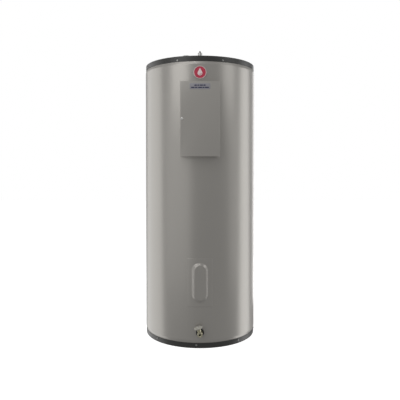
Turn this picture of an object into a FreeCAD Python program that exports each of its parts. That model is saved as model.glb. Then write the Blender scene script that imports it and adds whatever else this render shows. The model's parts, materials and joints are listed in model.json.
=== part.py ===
import FreeCAD, Part
import Sketcher
import math
import os
from types import SimpleNamespace

# A floor-standing electric tank water heater: a glass-lined steel tank in foam and a painted steel
# jacket, with a wiring box on its front, a lower access cover, a drain valve and a relief valve.
# The origin is the middle of the base, +Z is up and the front faces -Y. Lengths are millimetres.

Vector = FreeCAD.Vector
Rotation = FreeCAD.Rotation
Placement = FreeCAD.Placement

DIMENSIONS = {
    # jacket and pans
    "overall_height": 1505.0,
    "jacket_radius": 308.0,
    "joggle_radius": 304.3,
    "joggle_height": 15.0,
    "jacket_foot": 5.0,
    "jacket_steel": 1.0,
    "band_height": 28.0,
    "pan_radius": 305.7,
    "pan_steel": 1.2,
    "pan_corner": 3.0,
    "pan_screws": 8,
    "top_screw_phase": 22.5,
    "base_screw_phase": -3.5,
    "top_screw_height": 1484.5,
    "base_screw_height": 17.0,
    "screw_hexagon": 3.9,
    "screw_head_height": 2.6,
    "screw_washer": 4.6,
    "screw_washer_height": 0.8,
    "screw_shank": 1.9,
    "screw_length": 6.0,
    "port_hole": 14.0,
    # wiring box and its door
    "door_half_width": 101.0,
    "door_bottom": 990.0,
    "door_top": 1369.0,
    "door_face": 338.0,
    "door_steel": 1.2,
    "door_return": 12.0,
    "door_gap": 0.5,
    "box_front": 333.0,
    "box_lip": 10.0,
    "box_flange": 15.0,
    "box_tab_half_height": 12.0,
    "box_screw_inset": 8.0,
    "box_screw_end": 25.0,
    "hinge_across": 95.5,
    "hinge_depth": 329.0,
    "hinge_pin_radius": 2.0,
    "hinge_pin_head": 2.5,
    "hinge_ear": 14.0,
    "door_screw_across": -91.5,
    "door_screw_height": 1181.0,
    "door_screw_head": 6.2,
    "door_screw_shank": 2.5,
    "door_screw_dome": 9.0,
    "control_half_width": 80.0,
    "control_bottom": 1020.0,
    "control_top": 1340.0,
    # emblem and label
    "badge_radius": 33.0,
    "badge_height": 1419.0,
    "badge_rim": 3.0,
    "label_half_width": 52.0,
    "label_bottom": 1328.0,
    "label_top": 1358.0,
    # lower access cover
    "cover_half_width": 64.0,
    "cover_bottom": 216.0,
    "cover_top": 466.0,
    "cover_steel": 1.2,
    "cover_clearance": 0.3,
    "access_half_width": 52.0,
    "access_bottom": 228.0,
    "access_top": 454.0,
    "boss_outer": 44.5,
    "boss_inner": 26.5,
    "boss_half_run": 60.5,
    "boss_root": 306.3,
    "boss_face": 318.0,
    "cover_tab_half_width": 14.0,
    "cover_tab_depth": 296.0,
    # tank
    "tank_radius": 262.0,
    "tank_wall": 2.5,
    "tank_bottom": 46.0,
    "tank_shoulder": 1400.0,
    "dome_rise": 65.0,
    "bottom_flange": 14.0,
    "foam_gap": 0.2,
    # top fittings
    "port_across": 101.6,
    "anode_back": 150.0,
    "pipe_radius": 13.34,
    "nipple_bore": 10.4,
    "nipple_top": 1558.0,
    "nipple_foot": 1445.0,
    "nipple_groove": 12.6,
    "nipple_groove_low": 1504.0,
    "nipple_groove_high": 1510.0,
    "spud_radius": 20.0,
    "top_spud_length": 34.0,
    "side_spud_length": 15.0,
    "dip_tube_bottom": 180.0,
    "dip_tube_top": 1515.0,
    "dip_tube_radius": 9.7,
    "dip_tube_bore": 8.4,
    "ring_radius": 24.0,
    "ring_height": 4.5,
    "fitting_shoulder": 1508.0,
    "wrench_height": 12.0,
    "anode_plug_foot": 1431.0,
    "anode_wrench": 15.6,
    "anode_radius": 10.6,
    "anode_foot": 250.0,
    "anode_length": 1180.0,
    "conduit_across": -70.0,
    "conduit_forward": 276.0,
    "conduit_bore": 14.1,
    "hub_neck": 2.4,
    "hub_flange": 6.0,
    "valve_bore": 7.0,
    "valve_chamber": 10.0,
    "valve_seat": 1528.0,
    "valve_joint": 1562.0,
    "valve_cap": 1590.0,
    "valve_outlet_height": 1545.0,
    "valve_outlet_bore": 12.1,
    "valve_outlet_depth": 18.0,
    "valve_outlet_reach": 32.0,
    "valve_passage": 10.5,
    "valve_barrel": 16.0,
    "valve_wrench": 19.0,
    "valve_foot": 1450.0,
    "valve_stem": 2.5,
    "valve_disc": 9.0,
    "probe_foot": 1330.0,
    "probe_radius": 4.8,
    "lever_half_width": 4.0,
    "lever_cheek": 1.0,
    "lever_tail": 40.0,
    "lever_pivot": 1597.0,
    # elements, thermostats and wiring
    "upper_element_height": 1060.0,
    "lower_element_height": 268.0,
    "element_spud_radius": 27.0,
    "element_plug_radius": 17.9,
    "element_reach": 70.0,
    "element_wrench": 23.0,
    "element_head": 11.0,
    "hairpin_half_width": 8.5,
    "hairpin_radius": 4.0,
    "spud_face": 272.0,
    "thermostat_back": 263.0,
    "thermostat_front": 282.0,
    "upper_control_half": 27.0,
    "upper_control_low": 1112.0,
    "upper_control_high": 1242.0,
    "lower_control_half": 24.0,
    "lower_control_low": 330.0,
    "lower_control_high": 418.0,
    "upper_dial_across": -10.0,
    "upper_dial_height": 1133.0,
    "lower_dial_across": 0.0,
    "lower_dial_height": 352.0,
    "reset_height": 1224.0,
    "dial_radius": 9.0,
    "dial_shaft": 2.4,
    "button_radius": 4.4,
    "terminal_head": 3.6,
    "supply_block_half": 47.0,
    "supply_block_low": 1284.0,
    "supply_block_high": 1324.0,
    "supply_block_face": 322.0,
    "wire_radius": 1.7,
    "lower_conduit_across": 30.0,
    "lower_conduit_forward": 283.0,
    # drain valve
    "drain_height": 84.0,
    "drain_hole": 19.2,
    "drain_column": 332.0,
    "drain_tilt": 15.0,
    "drain_bore": 5.5,
    "hose_thread_radius": 13.3,
    "hose_thread_tip": 20.2,
    "hose_thread_length": 8.5,
    "hose_groove": 0.8,
    "hose_pitch": 2.2,
    "drain_neck": 10.5,
    "drain_shank": 13.0,
    "drain_pipe": 10.0,
    "drain_wrench": 13.5,
    "drain_tower": 8.3,
    "bonnet_wrench": 9.5,
    "bonnet_gland": 6.0,
    "trim_bore": 14.2,
    "trim_flange": 21.0,
    "trim_proud": 8.0,
    "drain_stem_radius": 3.2,
    "drain_knob_radius": 22.0,
}

doc = FreeCAD.newDocument("tank_water_heater")
sheet = doc.addObject("Spreadsheet::Sheet", "Sheet")
for row, (alias, number) in enumerate(DIMENSIONS.items(), start=1):
    sheet.set(f"A{row}", alias)
    sheet.set(f"B{row}", str(number))
    sheet.setAlias(f"B{row}", alias)
doc.recompute()


class Size:
    """A number together with the sheet expression that gives it."""

    def __init__(self, value, text=None):
        self.value = float(value)
        self.text = text or f"({self.value})"

    def __add__(self, other):
        other = size(other)
        return Size(self.value + other.value, f"({self.text} + {other.text})")

    def __sub__(self, other):
        other = size(other)
        return Size(self.value - other.value, f"({self.text} - {other.text})")

    def __mul__(self, other):
        other = size(other)
        return Size(self.value * other.value, f"({self.text} * {other.text})")

    def __truediv__(self, other):
        other = size(other)
        return Size(self.value / other.value, f"({self.text} / {other.text})")

    def __neg__(self):
        return Size(-self.value, f"(-1 * {self.text})")


def size(item):
    return item if isinstance(item, Size) else Size(item)


s = SimpleNamespace(**{name: Size(getattr(sheet, name), f"Sheet.{name}") for name in DIMENSIONS})

UPRIGHT = Rotation()
ALONG_Y = Rotation(Vector(1, 0, 0), -90)
ALONG_X = Rotation(Vector(0, 1, 0), 90)


# ---- building blocks -------------------------------------------------------------------------


def place(item, at, turn=UPRIGHT):
    """Puts an item at a point whose coordinates come from the sheet."""
    item.Placement = Placement(Vector(*(size(value).value for value in at)), turn)
    for axis, value in zip("xyz", at):
        item.setExpression(f"Placement.Base.{axis}", size(value).text)
    return item


def rod(name, radius, length, at=(0, 0, 0), turn=UPRIGHT):
    item = doc.addObject("Part::Cylinder", name)
    item.setExpression("Radius", size(radius).text)
    item.setExpression("Height", size(length).text)
    return place(item, at, turn)


def block(name, across, deep, high):
    """A box between two values along each of X, Y and Z."""
    item = doc.addObject("Part::Box", name)
    spans = [(size(low), size(top)) for low, top in (across, deep, high)]
    for side, (low, top) in zip(("Length", "Width", "Height"), spans):
        item.setExpression(side, (top - low).text)
    return place(item, [low for low, top in spans])


def hexagon(name, corner_radius, length, at=(0, 0, 0), turn=UPRIGHT):
    item = doc.addObject("Part::Prism", name)
    item.Polygon = 6
    item.setExpression("Circumradius", size(corner_radius).text)
    item.setExpression("Height", size(length).text)
    return place(item, at, turn)


def ball(name, radius, at):
    item = doc.addObject("Part::Sphere", name)
    item.setExpression("Radius", size(radius).text)
    return place(item, at)


def fused(name, items):
    item = doc.addObject("Part::MultiFuse", name)
    item.Shapes = items
    return item


def cut(name, base, *tools):
    item = doc.addObject("Part::Cut", name)
    item.Base = base
    item.Tool = tools[0] if len(tools) == 1 else fused(name + "_tools", list(tools))
    return item


def shared(name, *items):
    item = doc.addObject("Part::MultiCommon", name)
    item.Shapes = list(items)
    return item


def group(name, items):
    """Separate solids that share one node."""
    item = doc.addObject("Part::Compound", name)
    item.Links = items
    return item


def tube(name, outer, inner, length, at=(0, 0, 0), turn=UPRIGHT):
    return cut(name, rod(name + "_outside", outer, length, at, turn),
               rod(name + "_bore", inner, length, at, turn))


def turned(name, outline, at=(0, 0, 0), turn=UPRIGHT):
    """A PartDesign body turned about its own Z axis, from corners given as (radius, height)."""
    body = doc.addObject("PartDesign::Body", name)
    sketch = body.newObject("Sketcher::SketchObject", name + "_outline")
    plane = next(item for item in body.Origin.OriginFeatures if item.Role == "XZ_Plane")
    sketch.AttachmentSupport = (plane, "")
    sketch.MapMode = "FlatFace"
    corners = [(size(radius), size(height)) for radius, height in outline]
    points = [Vector(radius.value, height.value, 0) for radius, height in corners]
    for start, end in zip(points, points[1:] + points[:1]):
        sketch.addGeometry(Part.LineSegment(start, end))
    for edge, (radius, height) in enumerate(corners):
        sketch.addConstraint(Sketcher.Constraint("Coincident", edge - 1 if edge else len(corners) - 1,
                                               2, edge, 1))
        fix_coordinate(sketch, edge, "DistanceX", radius, -2)
        fix_coordinate(sketch, edge, "DistanceY", height, -1)
    solid = body.newObject("PartDesign::Revolution", name + "_turning")
    solid.Profile = sketch
    solid.ReferenceAxis = (sketch, ["V_Axis"])
    solid.Angle = 360
    body.Tip = solid
    return place(body, at, turn)


def fix_coordinate(sketch, edge, kind, value, axis):
    """Ties one coordinate of an edge's start to the sheet, or to a sketch axis where it is zero."""
    if abs(value.value) < 1e-9:
        sketch.addConstraint(Sketcher.Constraint("PointOnObject", edge, 1, axis))
        return
    index = sketch.addConstraint(Sketcher.Constraint(kind, -1, 1, edge, 1, value.value))
    sketch.setExpression(f"Constraints[{index}]", value.text)


def shaped(name, shape):
    """An object whose shape is made in code, for routes, lofts and repeated copies."""
    item = doc.addObject("Part::Feature", name)
    item.Shape = shape
    item.Placement = shape.Placement
    return item


def copies(name, pattern, placements):
    """Copies of one object's shape as separate solids, one at each placement."""
    doc.recompute()
    solids = []
    for spot in placements:
        solid = pattern.Shape.copy()
        solid.Placement = spot.multiply(solid.Placement)
        solids.append(solid)
    return shaped(name, Part.makeCompound(solids))


def cylinder_gap(name, radius, low, high):
    """A full cylinder about the heater's axis, used to trim a piece to the jacket or the tank."""
    return rod(name, radius, size(high) - low, (0, 0, low))


# ---- jacket and pans -------------------------------------------------------------------------


def band_edges():
    """Heights of the lower and upper edges between the pans' flanges and the jacket."""
    return s.band_height, s.overall_height - s.band_height


def outer_jacket():
    low, high = band_edges()
    outside = [
        (s.joggle_radius, s.jacket_foot),
        (s.joggle_radius, low),
        (s.jacket_radius, low + s.joggle_height),
        (s.jacket_radius, high - s.joggle_height),
        (s.joggle_radius, high),
        (s.joggle_radius, s.overall_height - s.jacket_foot),
    ]
    inside = [(radius - s.jacket_steel, height) for radius, height in reversed(outside)]
    shell = turned("jacket_shell", outside + inside)
    front = (-s.jacket_radius - 10, -s.tank_radius + 60)
    wiring = block("jacket_wiring_opening", (-s.control_half_width, s.control_half_width), front,
                   (s.control_bottom, s.control_top))
    access = block("jacket_access_opening", (-s.access_half_width, s.access_half_width), front,
                   (s.access_bottom, s.access_top))
    drain = rod("jacket_drain_hole", s.drain_hole, 110, (0, -s.jacket_radius - 10, s.drain_height),
                ALONG_Y)
    return cut("jacket", shell, wiring, access, drain)


def pan_outline():
    """A pan lying on z = 0 with its flange upward."""
    return [
        (0, 0),
        (s.pan_radius - s.pan_corner, 0),
        (s.pan_radius, s.pan_corner),
        (s.pan_radius, s.band_height),
        (s.pan_radius - s.pan_steel, s.band_height),
        (s.pan_radius - s.pan_steel, s.pan_corner + 0.5),
        (s.pan_radius - s.pan_corner - 0.5, s.pan_steel),
        (0, s.pan_steel),
    ]


def base_pan():
    return turned("base_pan_blank", pan_outline())


def top_cover():
    upside_down = Rotation(Vector(1, 0, 0), 180)
    pan = turned("top_cover_blank", pan_outline(), (0, 0, s.overall_height), upside_down)
    below = s.overall_height - 10
    holes = [rod("cover_port_hole", s.port_hole, 20, (across, back, below))
             for across, back in top_ports()]
    holes.append(rod("cover_conduit_hole", s.conduit_bore + s.hub_neck + 0.2, 20,
                     (s.conduit_across, -s.conduit_forward, below)))
    return cut("top_cover_pierced", pan, *holes)


def top_ports():
    """Where the four fittings stand on the tank's head: cold, hot, relief valve and anode."""
    return [(s.port_across, 0), (-s.port_across, 0), (0, 0), (0, s.anode_back)]


def sheet_screw():
    """A hexagon washer-head screw at the origin, with its shank along +Y."""
    washer_height, head_height = s.screw_washer_height, s.screw_head_height
    head = hexagon("screw_hexagon", s.screw_hexagon, head_height,
                   (0, -washer_height - head_height, 0), ALONG_Y)
    washer = rod("screw_washer", s.screw_washer, washer_height, (0, -washer_height, 0), ALONG_Y)
    shank = rod("screw_shank", s.screw_shank, s.screw_length, (0, 0, 0), ALONG_Y)
    return fused("screw", [head, washer, shank])


def screw_spots(phase, height):
    """Seats for screws round a pan's flange, evenly spaced from an angle off the front."""
    count = int(s.pan_screws.value)
    spots = []
    for index in range(count):
        turn = Rotation(Vector(0, 0, 1), phase.value + index * 360 / count)
        seat = turn.multVec(Vector(0, -s.pan_radius.value, 0)) + Vector(0, 0, height.value)
        spots.append(Placement(seat, turn))
    return spots


def pan_screws():
    """The rings of screws that hold the top cover and the base pan to the jacket."""
    spots = screw_spots(s.top_screw_phase, s.top_screw_height)
    spots += screw_spots(s.base_screw_phase, s.base_screw_height)
    return copies("screws_round_pans", sheet_screw(), spots)


# ---- wiring box and door -----------------------------------------------------------------------


def box_half_width():
    return s.door_half_width - s.door_steel - s.door_gap


def box_span():
    """Heights of the box's underside and top."""
    return s.door_bottom + s.door_steel + s.door_gap, s.door_top - s.door_steel - s.door_gap


BOX_SEAT = 0.15  # the gap between the jacket and the box's flange


def control_box():
    """Four walls with a lip round the front and a curved flange that lies on the jacket."""
    half, (low, high) = box_half_width(), box_span()
    steel, lip = s.door_steel, s.box_lip
    deep = (-s.box_front, -s.tank_radius)
    walls = cut("box_walls",
                block("box_outside", (-half, half), deep, (low, high)),
                block("box_inside", (-half + steel, half - steel), (-s.box_front - 1, -250),
                      (low + steel, high - steel)))
    front = cut("box_lip_frame",
                block("box_lip_plate", (-half + 0.5, half - 0.5),
                      (-s.box_front, -s.box_front + steel), (low + 0.5, high - 0.5)),
                block("box_lip_window", (-half + lip, half - steel), (-s.box_front - 1, -s.box_front + 5),
                      (low + lip, high - lip)))
    tab_half = s.box_tab_half_height
    tab = block("box_screw_tab", (-half + 0.5, s.door_screw_across + 9),
                (-s.box_front, -s.box_front + steel),
                (s.door_screw_height - tab_half, s.door_screw_height + tab_half))
    body = fused("box_blank", [walls, front, tab])
    shell = cut("box_trimmed", body,
                cylinder_gap("box_jacket_clearance", s.jacket_radius + BOX_SEAT, low - 5, high + 5))
    flange = cut("box_flange",
                 shared("box_flange_band",
                        cylinder_gap("box_flange_outside", s.jacket_radius + BOX_SEAT + steel,
                                     low, high),
                        block("box_flange_block", (-half + 0.5, half - 0.5), (-320, -250),
                              (low + 0.5, high - 0.5))),
                 cylinder_gap("box_flange_inside", s.jacket_radius + BOX_SEAT, low - 5, high + 5),
                 block("box_flange_window", (-half + s.box_flange, half - s.box_flange), (-330, -240),
                       (low + s.box_flange, high - s.box_flange)))
    holes = [rod("box_pin_hole", s.hinge_pin_radius + 0.03, 6, (s.hinge_across, -s.hinge_depth, z - 3))
             for z in (low, high)]
    holes.append(rod("box_screw_hole", 3.2, 8,
                     (s.door_screw_across, -s.box_front - 3, s.door_screw_height), ALONG_Y))
    return cut("box", fused("box_with_flange", [shell, flange]), *holes)


def control_box_screws():
    """Screws through the box's flange into the jacket."""
    low, high = box_span()
    half = (box_half_width() - s.box_screw_inset).value
    radius = (s.jacket_radius + BOX_SEAT + s.door_steel).value
    lowest, highest = (low + s.box_screw_end).value, (high - s.box_screw_end).value
    spots = []
    for across in (-half, half):
        for height in (lowest, (lowest + highest) / 2, highest):
            angle = math.degrees(math.asin(across / radius))
            turn = Rotation(Vector(0, 0, 1), angle)
            spots.append(Placement(turn.multVec(Vector(0, -radius, 0)) + Vector(0, 0, height), turn))
    return copies("screws_in_box", sheet_screw(), spots)


def control_door():
    """A flat pan with returns at its left, top and bottom, and a hinge ear at each end."""
    half, steel = s.door_half_width, s.door_steel
    face, low, high = -s.door_face, s.door_bottom, s.door_top
    back = face + s.door_return
    plate = block("door_plate", (-half, half), (face, face + steel), (low, high))
    side = block("door_side_return", (-half, -half + steel), (face, back), (low, high))
    top = block("door_top_return", (-half, half), (face, back), (high - steel, high))
    foot = block("door_foot_return", (-half, half), (face, back), (low, low + steel))
    ears = [block("door_ear", (half - s.hinge_ear, half), (face, -s.hinge_depth + s.hinge_ear / 2),
                  (z, z + steel))
            for z in (low, high - steel)]
    bore = s.hinge_pin_radius + 0.06
    holes = [rod("door_pin_hole", bore, 10, (s.hinge_across, -s.hinge_depth, z - 5))
             for z in (low, high)]
    holes.append(rod("door_screw_hole", s.door_screw_shank + 0.06, 8,
                     (s.door_screw_across, face - 3, s.door_screw_height), ALONG_Y))
    return cut("door", fused("door_blank", [plate, side, top, foot] + ears), *holes)


def door_hinge_pins():
    """Two rivets, headed inside the box, on which the door's ears turn."""
    low, high = box_span()
    radius, head, steel = s.hinge_pin_radius, s.hinge_pin_head, s.door_steel
    across, deep = s.hinge_across, -s.hinge_depth
    thick = 1.5
    length = steel * 2 + s.door_gap + thick
    upper = fused("upper_pin", [
        rod("upper_pin_shank", radius, length, (across, deep, high - steel - 0.1)),
        rod("upper_pin_head", head, thick, (across, deep, high - steel - 0.1 - thick)),
    ])
    lower = fused("lower_pin", [
        rod("lower_pin_shank", radius, length, (across, deep, s.door_bottom + 0.1 - thick)),
        rod("lower_pin_head", head, thick, (across, deep, low + steel + 0.1)),
    ])
    return group("hinge_pins", [upper, lower])


def door_screw():
    """A captive screw with a domed, slotted head."""
    centre = (s.door_screw_across, 0, s.door_screw_height)
    face = -s.door_face - 0.2
    thick = 3.2
    dome = shared("door_screw_dome",
                  ball("door_screw_ball", s.door_screw_dome,
                       (centre[0], face - thick + s.door_screw_dome, centre[2])),
                  rod("door_screw_head", s.door_screw_head, thick + 0.4,
                      (centre[0], face - thick - 0.4, centre[2]), ALONG_Y))
    shank = rod("door_screw_shank", s.door_screw_shank, 16, (centre[0], face - 0.5, centre[2]), ALONG_Y)
    slot = block("door_screw_slot", (centre[0] - 7, centre[0] + 7), (face - 4, face - 2),
                 (centre[2] - 0.7, centre[2] + 0.7))
    return cut("door_screw_slotted", fused("door_screw_blank", [dome, shank]), slot)


def door_screw_retainer():
    return tube("retainer", 4.6, s.door_screw_shank, 1.2,
                (s.door_screw_across, -s.door_face + s.door_steel + 0.2, s.door_screw_height), ALONG_Y)


def door_label():
    return block("label", (-s.label_half_width, s.label_half_width),
                 (-s.door_face - 0.4, -s.door_face), (s.label_bottom, s.label_top))


def badge_bezel():
    ring = tube("bezel_ring", s.badge_radius, s.badge_radius - s.badge_rim, 8,
                (0, -s.jacket_radius - 3.5, s.badge_height), ALONG_Y)
    return cut("bezel", ring, jacket_trim("bezel_trim", s.badge_height))


def badge_disc():
    disc = rod("badge_blank", s.badge_radius - s.badge_rim - 0.05, 8,
               (0, -s.jacket_radius - 2.5, s.badge_height), ALONG_Y)
    return cut("badge", disc, jacket_trim("badge_trim", s.badge_height))


def jacket_trim(name, height):
    """A stretch of the jacket's own cylinder, for cutting the back of what lies on it."""
    return cylinder_gap(name, s.jacket_radius + 0.02, size(height) - 60, size(height) + 60)


# ---- lower access cover --------------------------------------------------------------------------


def stadium(half_run, radius, depth, middle):
    """An upright stadium outline facing -Y, its ends rounded about points half_run off the middle."""
    top, foot = middle + half_run, middle - half_run
    corners = [Vector(radius, depth, foot), Vector(radius, depth, top),
               Vector(-radius, depth, top), Vector(-radius, depth, foot)]
    arcs = [Part.Arc(corners[1], Vector(0, depth, top + radius), corners[2]),
            Part.Arc(corners[3], Vector(0, depth, foot - radius), corners[0])]
    edges = [Part.LineSegment(corners[0], corners[1]), arcs[0],
             Part.LineSegment(corners[2], corners[3]), arcs[1]]
    return Part.Wire([edge.toShape() for edge in edges])


def boss(name, shrink, start, finish):
    """The raised stadium between two depths in front of the axis, smaller all round by shrink."""
    slope = (s.boss_outer - s.boss_inner).value / (s.boss_face - s.boss_root).value
    middle = ((s.cover_bottom + s.cover_top) / 2).value
    wires = []
    for depth in (start, finish):
        radius = s.boss_outer.value - shrink - slope * (depth - s.boss_root.value)
        wires.append(stadium(s.boss_half_run.value, radius, -depth, middle))
    return shaped(name, Part.makeLoft(wires, True, True))


def lower_access_cover():
    """A curved panel with a raised stadium and two tabs that spring into the jacket's opening."""
    low, high, half = s.cover_bottom, s.cover_top, s.cover_half_width
    inner = s.jacket_radius + s.cover_clearance
    outer = inner + s.cover_steel
    panel = shared("cover_panel",
                   tube("cover_curve", outer, inner, high - low, (0, 0, low)),
                   block("cover_block", (-half, half), (-330, -200), (low, high)))
    face, steel = s.boss_face.value, s.cover_steel.value
    raised = cut("cover_boss", boss("boss_outside", 0, s.boss_root.value - 4, face),
                 cylinder_gap("boss_trim", inner, low, high))
    hollow = boss("boss_inside", 1.5, s.boss_root.value - 10, face - steel)
    shell = cut("cover_shell", fused("cover_blank", [panel, raised]), hollow)
    tab_half = s.cover_tab_half_width
    tabs = [block("cover_tab", (-tab_half, tab_half), (-inner - 0.7, -s.cover_tab_depth),
                  (z, z + s.cover_steel))
            for z in (s.access_top - s.cover_steel - 0.6, s.access_bottom + 0.6)]
    return fused("cover", [shell] + tabs)


# ---- tank ------------------------------------------------------------------------------------------


def tank_shell():
    outer = s.tank_radius
    wall = tube("tank_wall_tube", outer, outer - s.tank_wall, s.tank_shoulder - s.tank_bottom,
                (0, 0, s.tank_bottom))
    holes = [rod("tank_element_hole", s.element_spud_radius + 0.05, 60, (0, -outer - 20, z), ALONG_Y)
             for z in (s.upper_element_height, s.lower_element_height)]
    holes.append(rod("tank_drain_hole", s.spud_radius + 0.05, 60, (0, -outer - 20, s.drain_height),
                     ALONG_Y))
    return cut("tank_wall_pierced", wall, *holes)


def dome_radius(edge):
    """The sphere whose cap rises by dome_rise over a circle of the given radius."""
    return (edge * edge + s.dome_rise * s.dome_rise) / (s.dome_rise * 2)


def dome(name, edge, foot):
    """A solid cap standing on a level circle."""
    radius = dome_radius(edge)
    sphere = ball(name + "_ball", radius, (0, 0, size(foot) + s.dome_rise - radius))
    return shared(name, sphere, rod(name + "_slice", edge, s.dome_rise + 5, (0, 0, foot)))


def tank_top_head():
    foot, wall = s.tank_shoulder, s.tank_wall
    blank = cut("top_head_blank", dome("top_head_outside", s.tank_radius, foot),
                dome("top_head_inside", s.tank_radius - wall, foot - wall))
    holes = [rod("head_port_hole", s.spud_radius + 0.05, 120, (across, back, foot - 20))
             for across, back in top_ports()]
    return cut("top_head", blank, *holes)


def tank_bottom_head():
    """The lower head bulges up into the tank above a short straight flange."""
    edge, wall = s.tank_radius - s.tank_wall - 0.1, s.tank_wall
    foot = s.tank_bottom + s.bottom_flange
    flange = rod("bottom_flange_outside", edge, s.bottom_flange, (0, 0, s.tank_bottom))
    outside = fused("bottom_head_outside", [flange, dome("bottom_dome_outside", edge, foot)])
    inside = fused("bottom_head_inside", [
        rod("bottom_flange_inside", edge - wall, s.bottom_flange + 0.01, (0, 0, s.tank_bottom)),
        dome("bottom_dome_inside", edge - wall, foot - wall + 1),
    ])
    return cut("bottom_head", outside, inside)


def tank_skirt():
    """The ring that carries the tank on the base pan."""
    return tube("skirt", s.tank_radius, s.tank_radius - s.tank_wall, s.tank_bottom - s.pan_steel,
                (0, 0, s.pan_steel))


def tank_spuds():
    """The threaded rings welded into the tank for every fitting."""
    crowns = (1475, 1475, 1480, 1465)
    long, short = s.top_spud_length, s.side_spud_length
    rings = [tube("top_spud", s.spud_radius, s.pipe_radius + 0.06, long,
                  (across, back, size(crown) - long))
             for (across, back), crown in zip(top_ports(), crowns)]
    deep = -s.spud_face
    rings += [tube("element_spud", s.element_spud_radius, s.element_plug_radius + 0.06, short,
                   (0, deep, height), ALONG_Y)
              for height in (s.upper_element_height, s.lower_element_height)]
    rings.append(tube("drain_spud", s.spud_radius, s.drain_shank + 0.06, short,
                      (0, deep, s.drain_height), ALONG_Y))
    return group("spuds", rings)


# ---- insulation ------------------------------------------------------------------------------------


def tank_room():
    """The tank's outside with a thin gap round it, which nothing in the insulation enters."""
    edge = s.tank_radius + s.foam_gap
    trunk = rod("tank_room_trunk", edge, s.tank_shoulder, (0, 0, 0))
    return fused("tank_room", [trunk, dome("tank_room_dome", edge, s.tank_shoulder)])


def jacket_room(name):
    """The space inside the jacket, narrower at the joggled ends."""
    low, high = band_edges()
    gap = s.jacket_steel + s.foam_gap
    narrow = s.joggle_radius - gap
    full = rod(name + "_middle", s.jacket_radius - gap, high - low - s.joggle_height * 2,
               (0, 0, low + s.joggle_height))
    ends = rod(name + "_ends", narrow, s.overall_height - s.jacket_foot * 2 + 2,
               (0, 0, s.jacket_foot - 1))
    return fused(name, [full, ends])


POCKETS = {
    # name: half width, bottom, top of the foam-free pocket behind each opening
    "upper": (s.control_half_width + 15, s.control_bottom - 15, s.control_top + 15),
    "lower": (s.access_half_width + 14, s.access_bottom - 14, s.access_top + 14),
}


def pocket_block(name, pocket, shrink):
    half, low, high = POCKETS[pocket]
    return block(name, (-half + shrink, half - shrink), (-320, -200), (low + shrink, high - shrink))


def conduit_rods(name, spare):
    """The two conduits' outsides, wider by spare, for cutting what they pass through."""
    supply = rod(name + "_supply", s.conduit_bore - 1 + spare, 200,
                 (s.conduit_across, -s.conduit_forward, s.control_top + 0.5))
    lower = rod(name + "_lower", 9 + spare, s.control_bottom - s.access_top - 2,
                (s.lower_conduit_across, -s.lower_conduit_forward, s.access_top + 1))
    return [supply, lower]


def foam_insulation():
    ports = [rod("foam_port_hole", s.spud_radius + 0.2, 200, (across, back, s.tank_shoulder))
             for across, back in top_ports()]
    drain = rod("foam_drain_hole", s.spud_radius + 0.2, 120, (0, -s.jacket_radius - 10, s.drain_height),
                ALONG_Y)
    pockets = [pocket_block("foam_pocket", pocket, 0) for pocket in POCKETS]
    hub = rod("foam_hub_hole", s.conduit_bore + s.hub_neck + 0.2, 20,
              (s.conduit_across, -s.conduit_forward, s.overall_height - 9))
    return cut("foam", jacket_room("foam_outside"), tank_room(), drain, hub,
               *ports, *pockets, *conduit_rods("foam_conduit", 0.1))


def foam_dam(pocket, wall):
    """A rectangular frame that keeps the foam out of a pocket."""
    frame = cut(pocket + "_dam_frame", pocket_block(pocket + "_dam_outside", pocket, 0.1),
                pocket_block(pocket + "_dam_window", pocket, wall))
    ring = shared(pocket + "_dam_ring", jacket_room(pocket + "_dam_room"), frame)
    return cut(pocket + "_dam", ring, tank_room(), *conduit_rods(pocket + "_dam_conduit", 0.1))


def foam_dams():
    return group("dams", [foam_dam("upper", 14), foam_dam("lower", 12)])


# ---- fittings on the tank's head -----------------------------------------------------------------------


def nipple(name, across):
    """A pipe nipple with a relief groove between its two threaded ends."""
    radius, groove, bore = s.pipe_radius, s.nipple_groove, s.nipple_bore
    low, high = s.nipple_groove_low, s.nipple_groove_high
    outline = [(bore, s.nipple_foot), (radius, s.nipple_foot), (radius, low), (groove, low),
               (groove, high), (radius, high), (radius, s.nipple_top), (bore, s.nipple_top)]
    return turned(name, outline, (across, 0, 0))


def cold_inlet_nipple():
    return nipple("cold_nipple", s.port_across)


def hot_outlet_nipple():
    return nipple("hot_nipple", -s.port_across)


def heat_trap_inserts():
    sleeves = [tube("heat_trap", s.nipple_bore - 0.1, 6.5, 24, (across, 0, 1522))
               for across in (s.port_across, -s.port_across)]
    return group("heat_traps", sleeves)


def dip_tube():
    """A plastic tube that hangs from a flared collar inside the cold nipple."""
    foot, top = s.dip_tube_bottom, s.dip_tube_top
    radius, bore, collar = s.dip_tube_radius, s.dip_tube_bore, s.nipple_bore - 0.1
    outline = [(bore, foot), (radius, foot), (radius, top - 5), (collar, top - 4), (collar, top),
               (bore, top)]
    return turned("dip_tube_body", outline, (s.port_across, 0, 0))


def port_grommet(name, across):
    """A coloured ring that closes the cover's hole round a nipple."""
    radius, edge, top = s.pipe_radius, s.ring_radius, s.overall_height
    outline = [(radius + 0.05, top + 0.05), (edge, top + 0.05), (edge, top + 1.5), (edge - 2, top + 3),
               (radius + 2.5, top + s.ring_height), (radius + 0.05, top + s.ring_height)]
    return turned(name, outline, (across, 0, 0))


def cold_inlet_ring():
    return port_grommet("cold_ring", s.port_across)


def hot_outlet_ring():
    return port_grommet("hot_ring", -s.port_across)


def anode_head():
    """The anode's hexagon plug, which reaches down to its spud."""
    across = (0, s.anode_back)
    foot, shoulder = s.anode_plug_foot, s.fitting_shoulder
    plug = rod("anode_plug", s.pipe_radius, shoulder - foot + 1, (*across, foot))
    head = hexagon("anode_hexagon", s.anode_wrench, s.wrench_height, (*across, shoulder))
    return fused("anode_plug_head", [plug, head])


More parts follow.
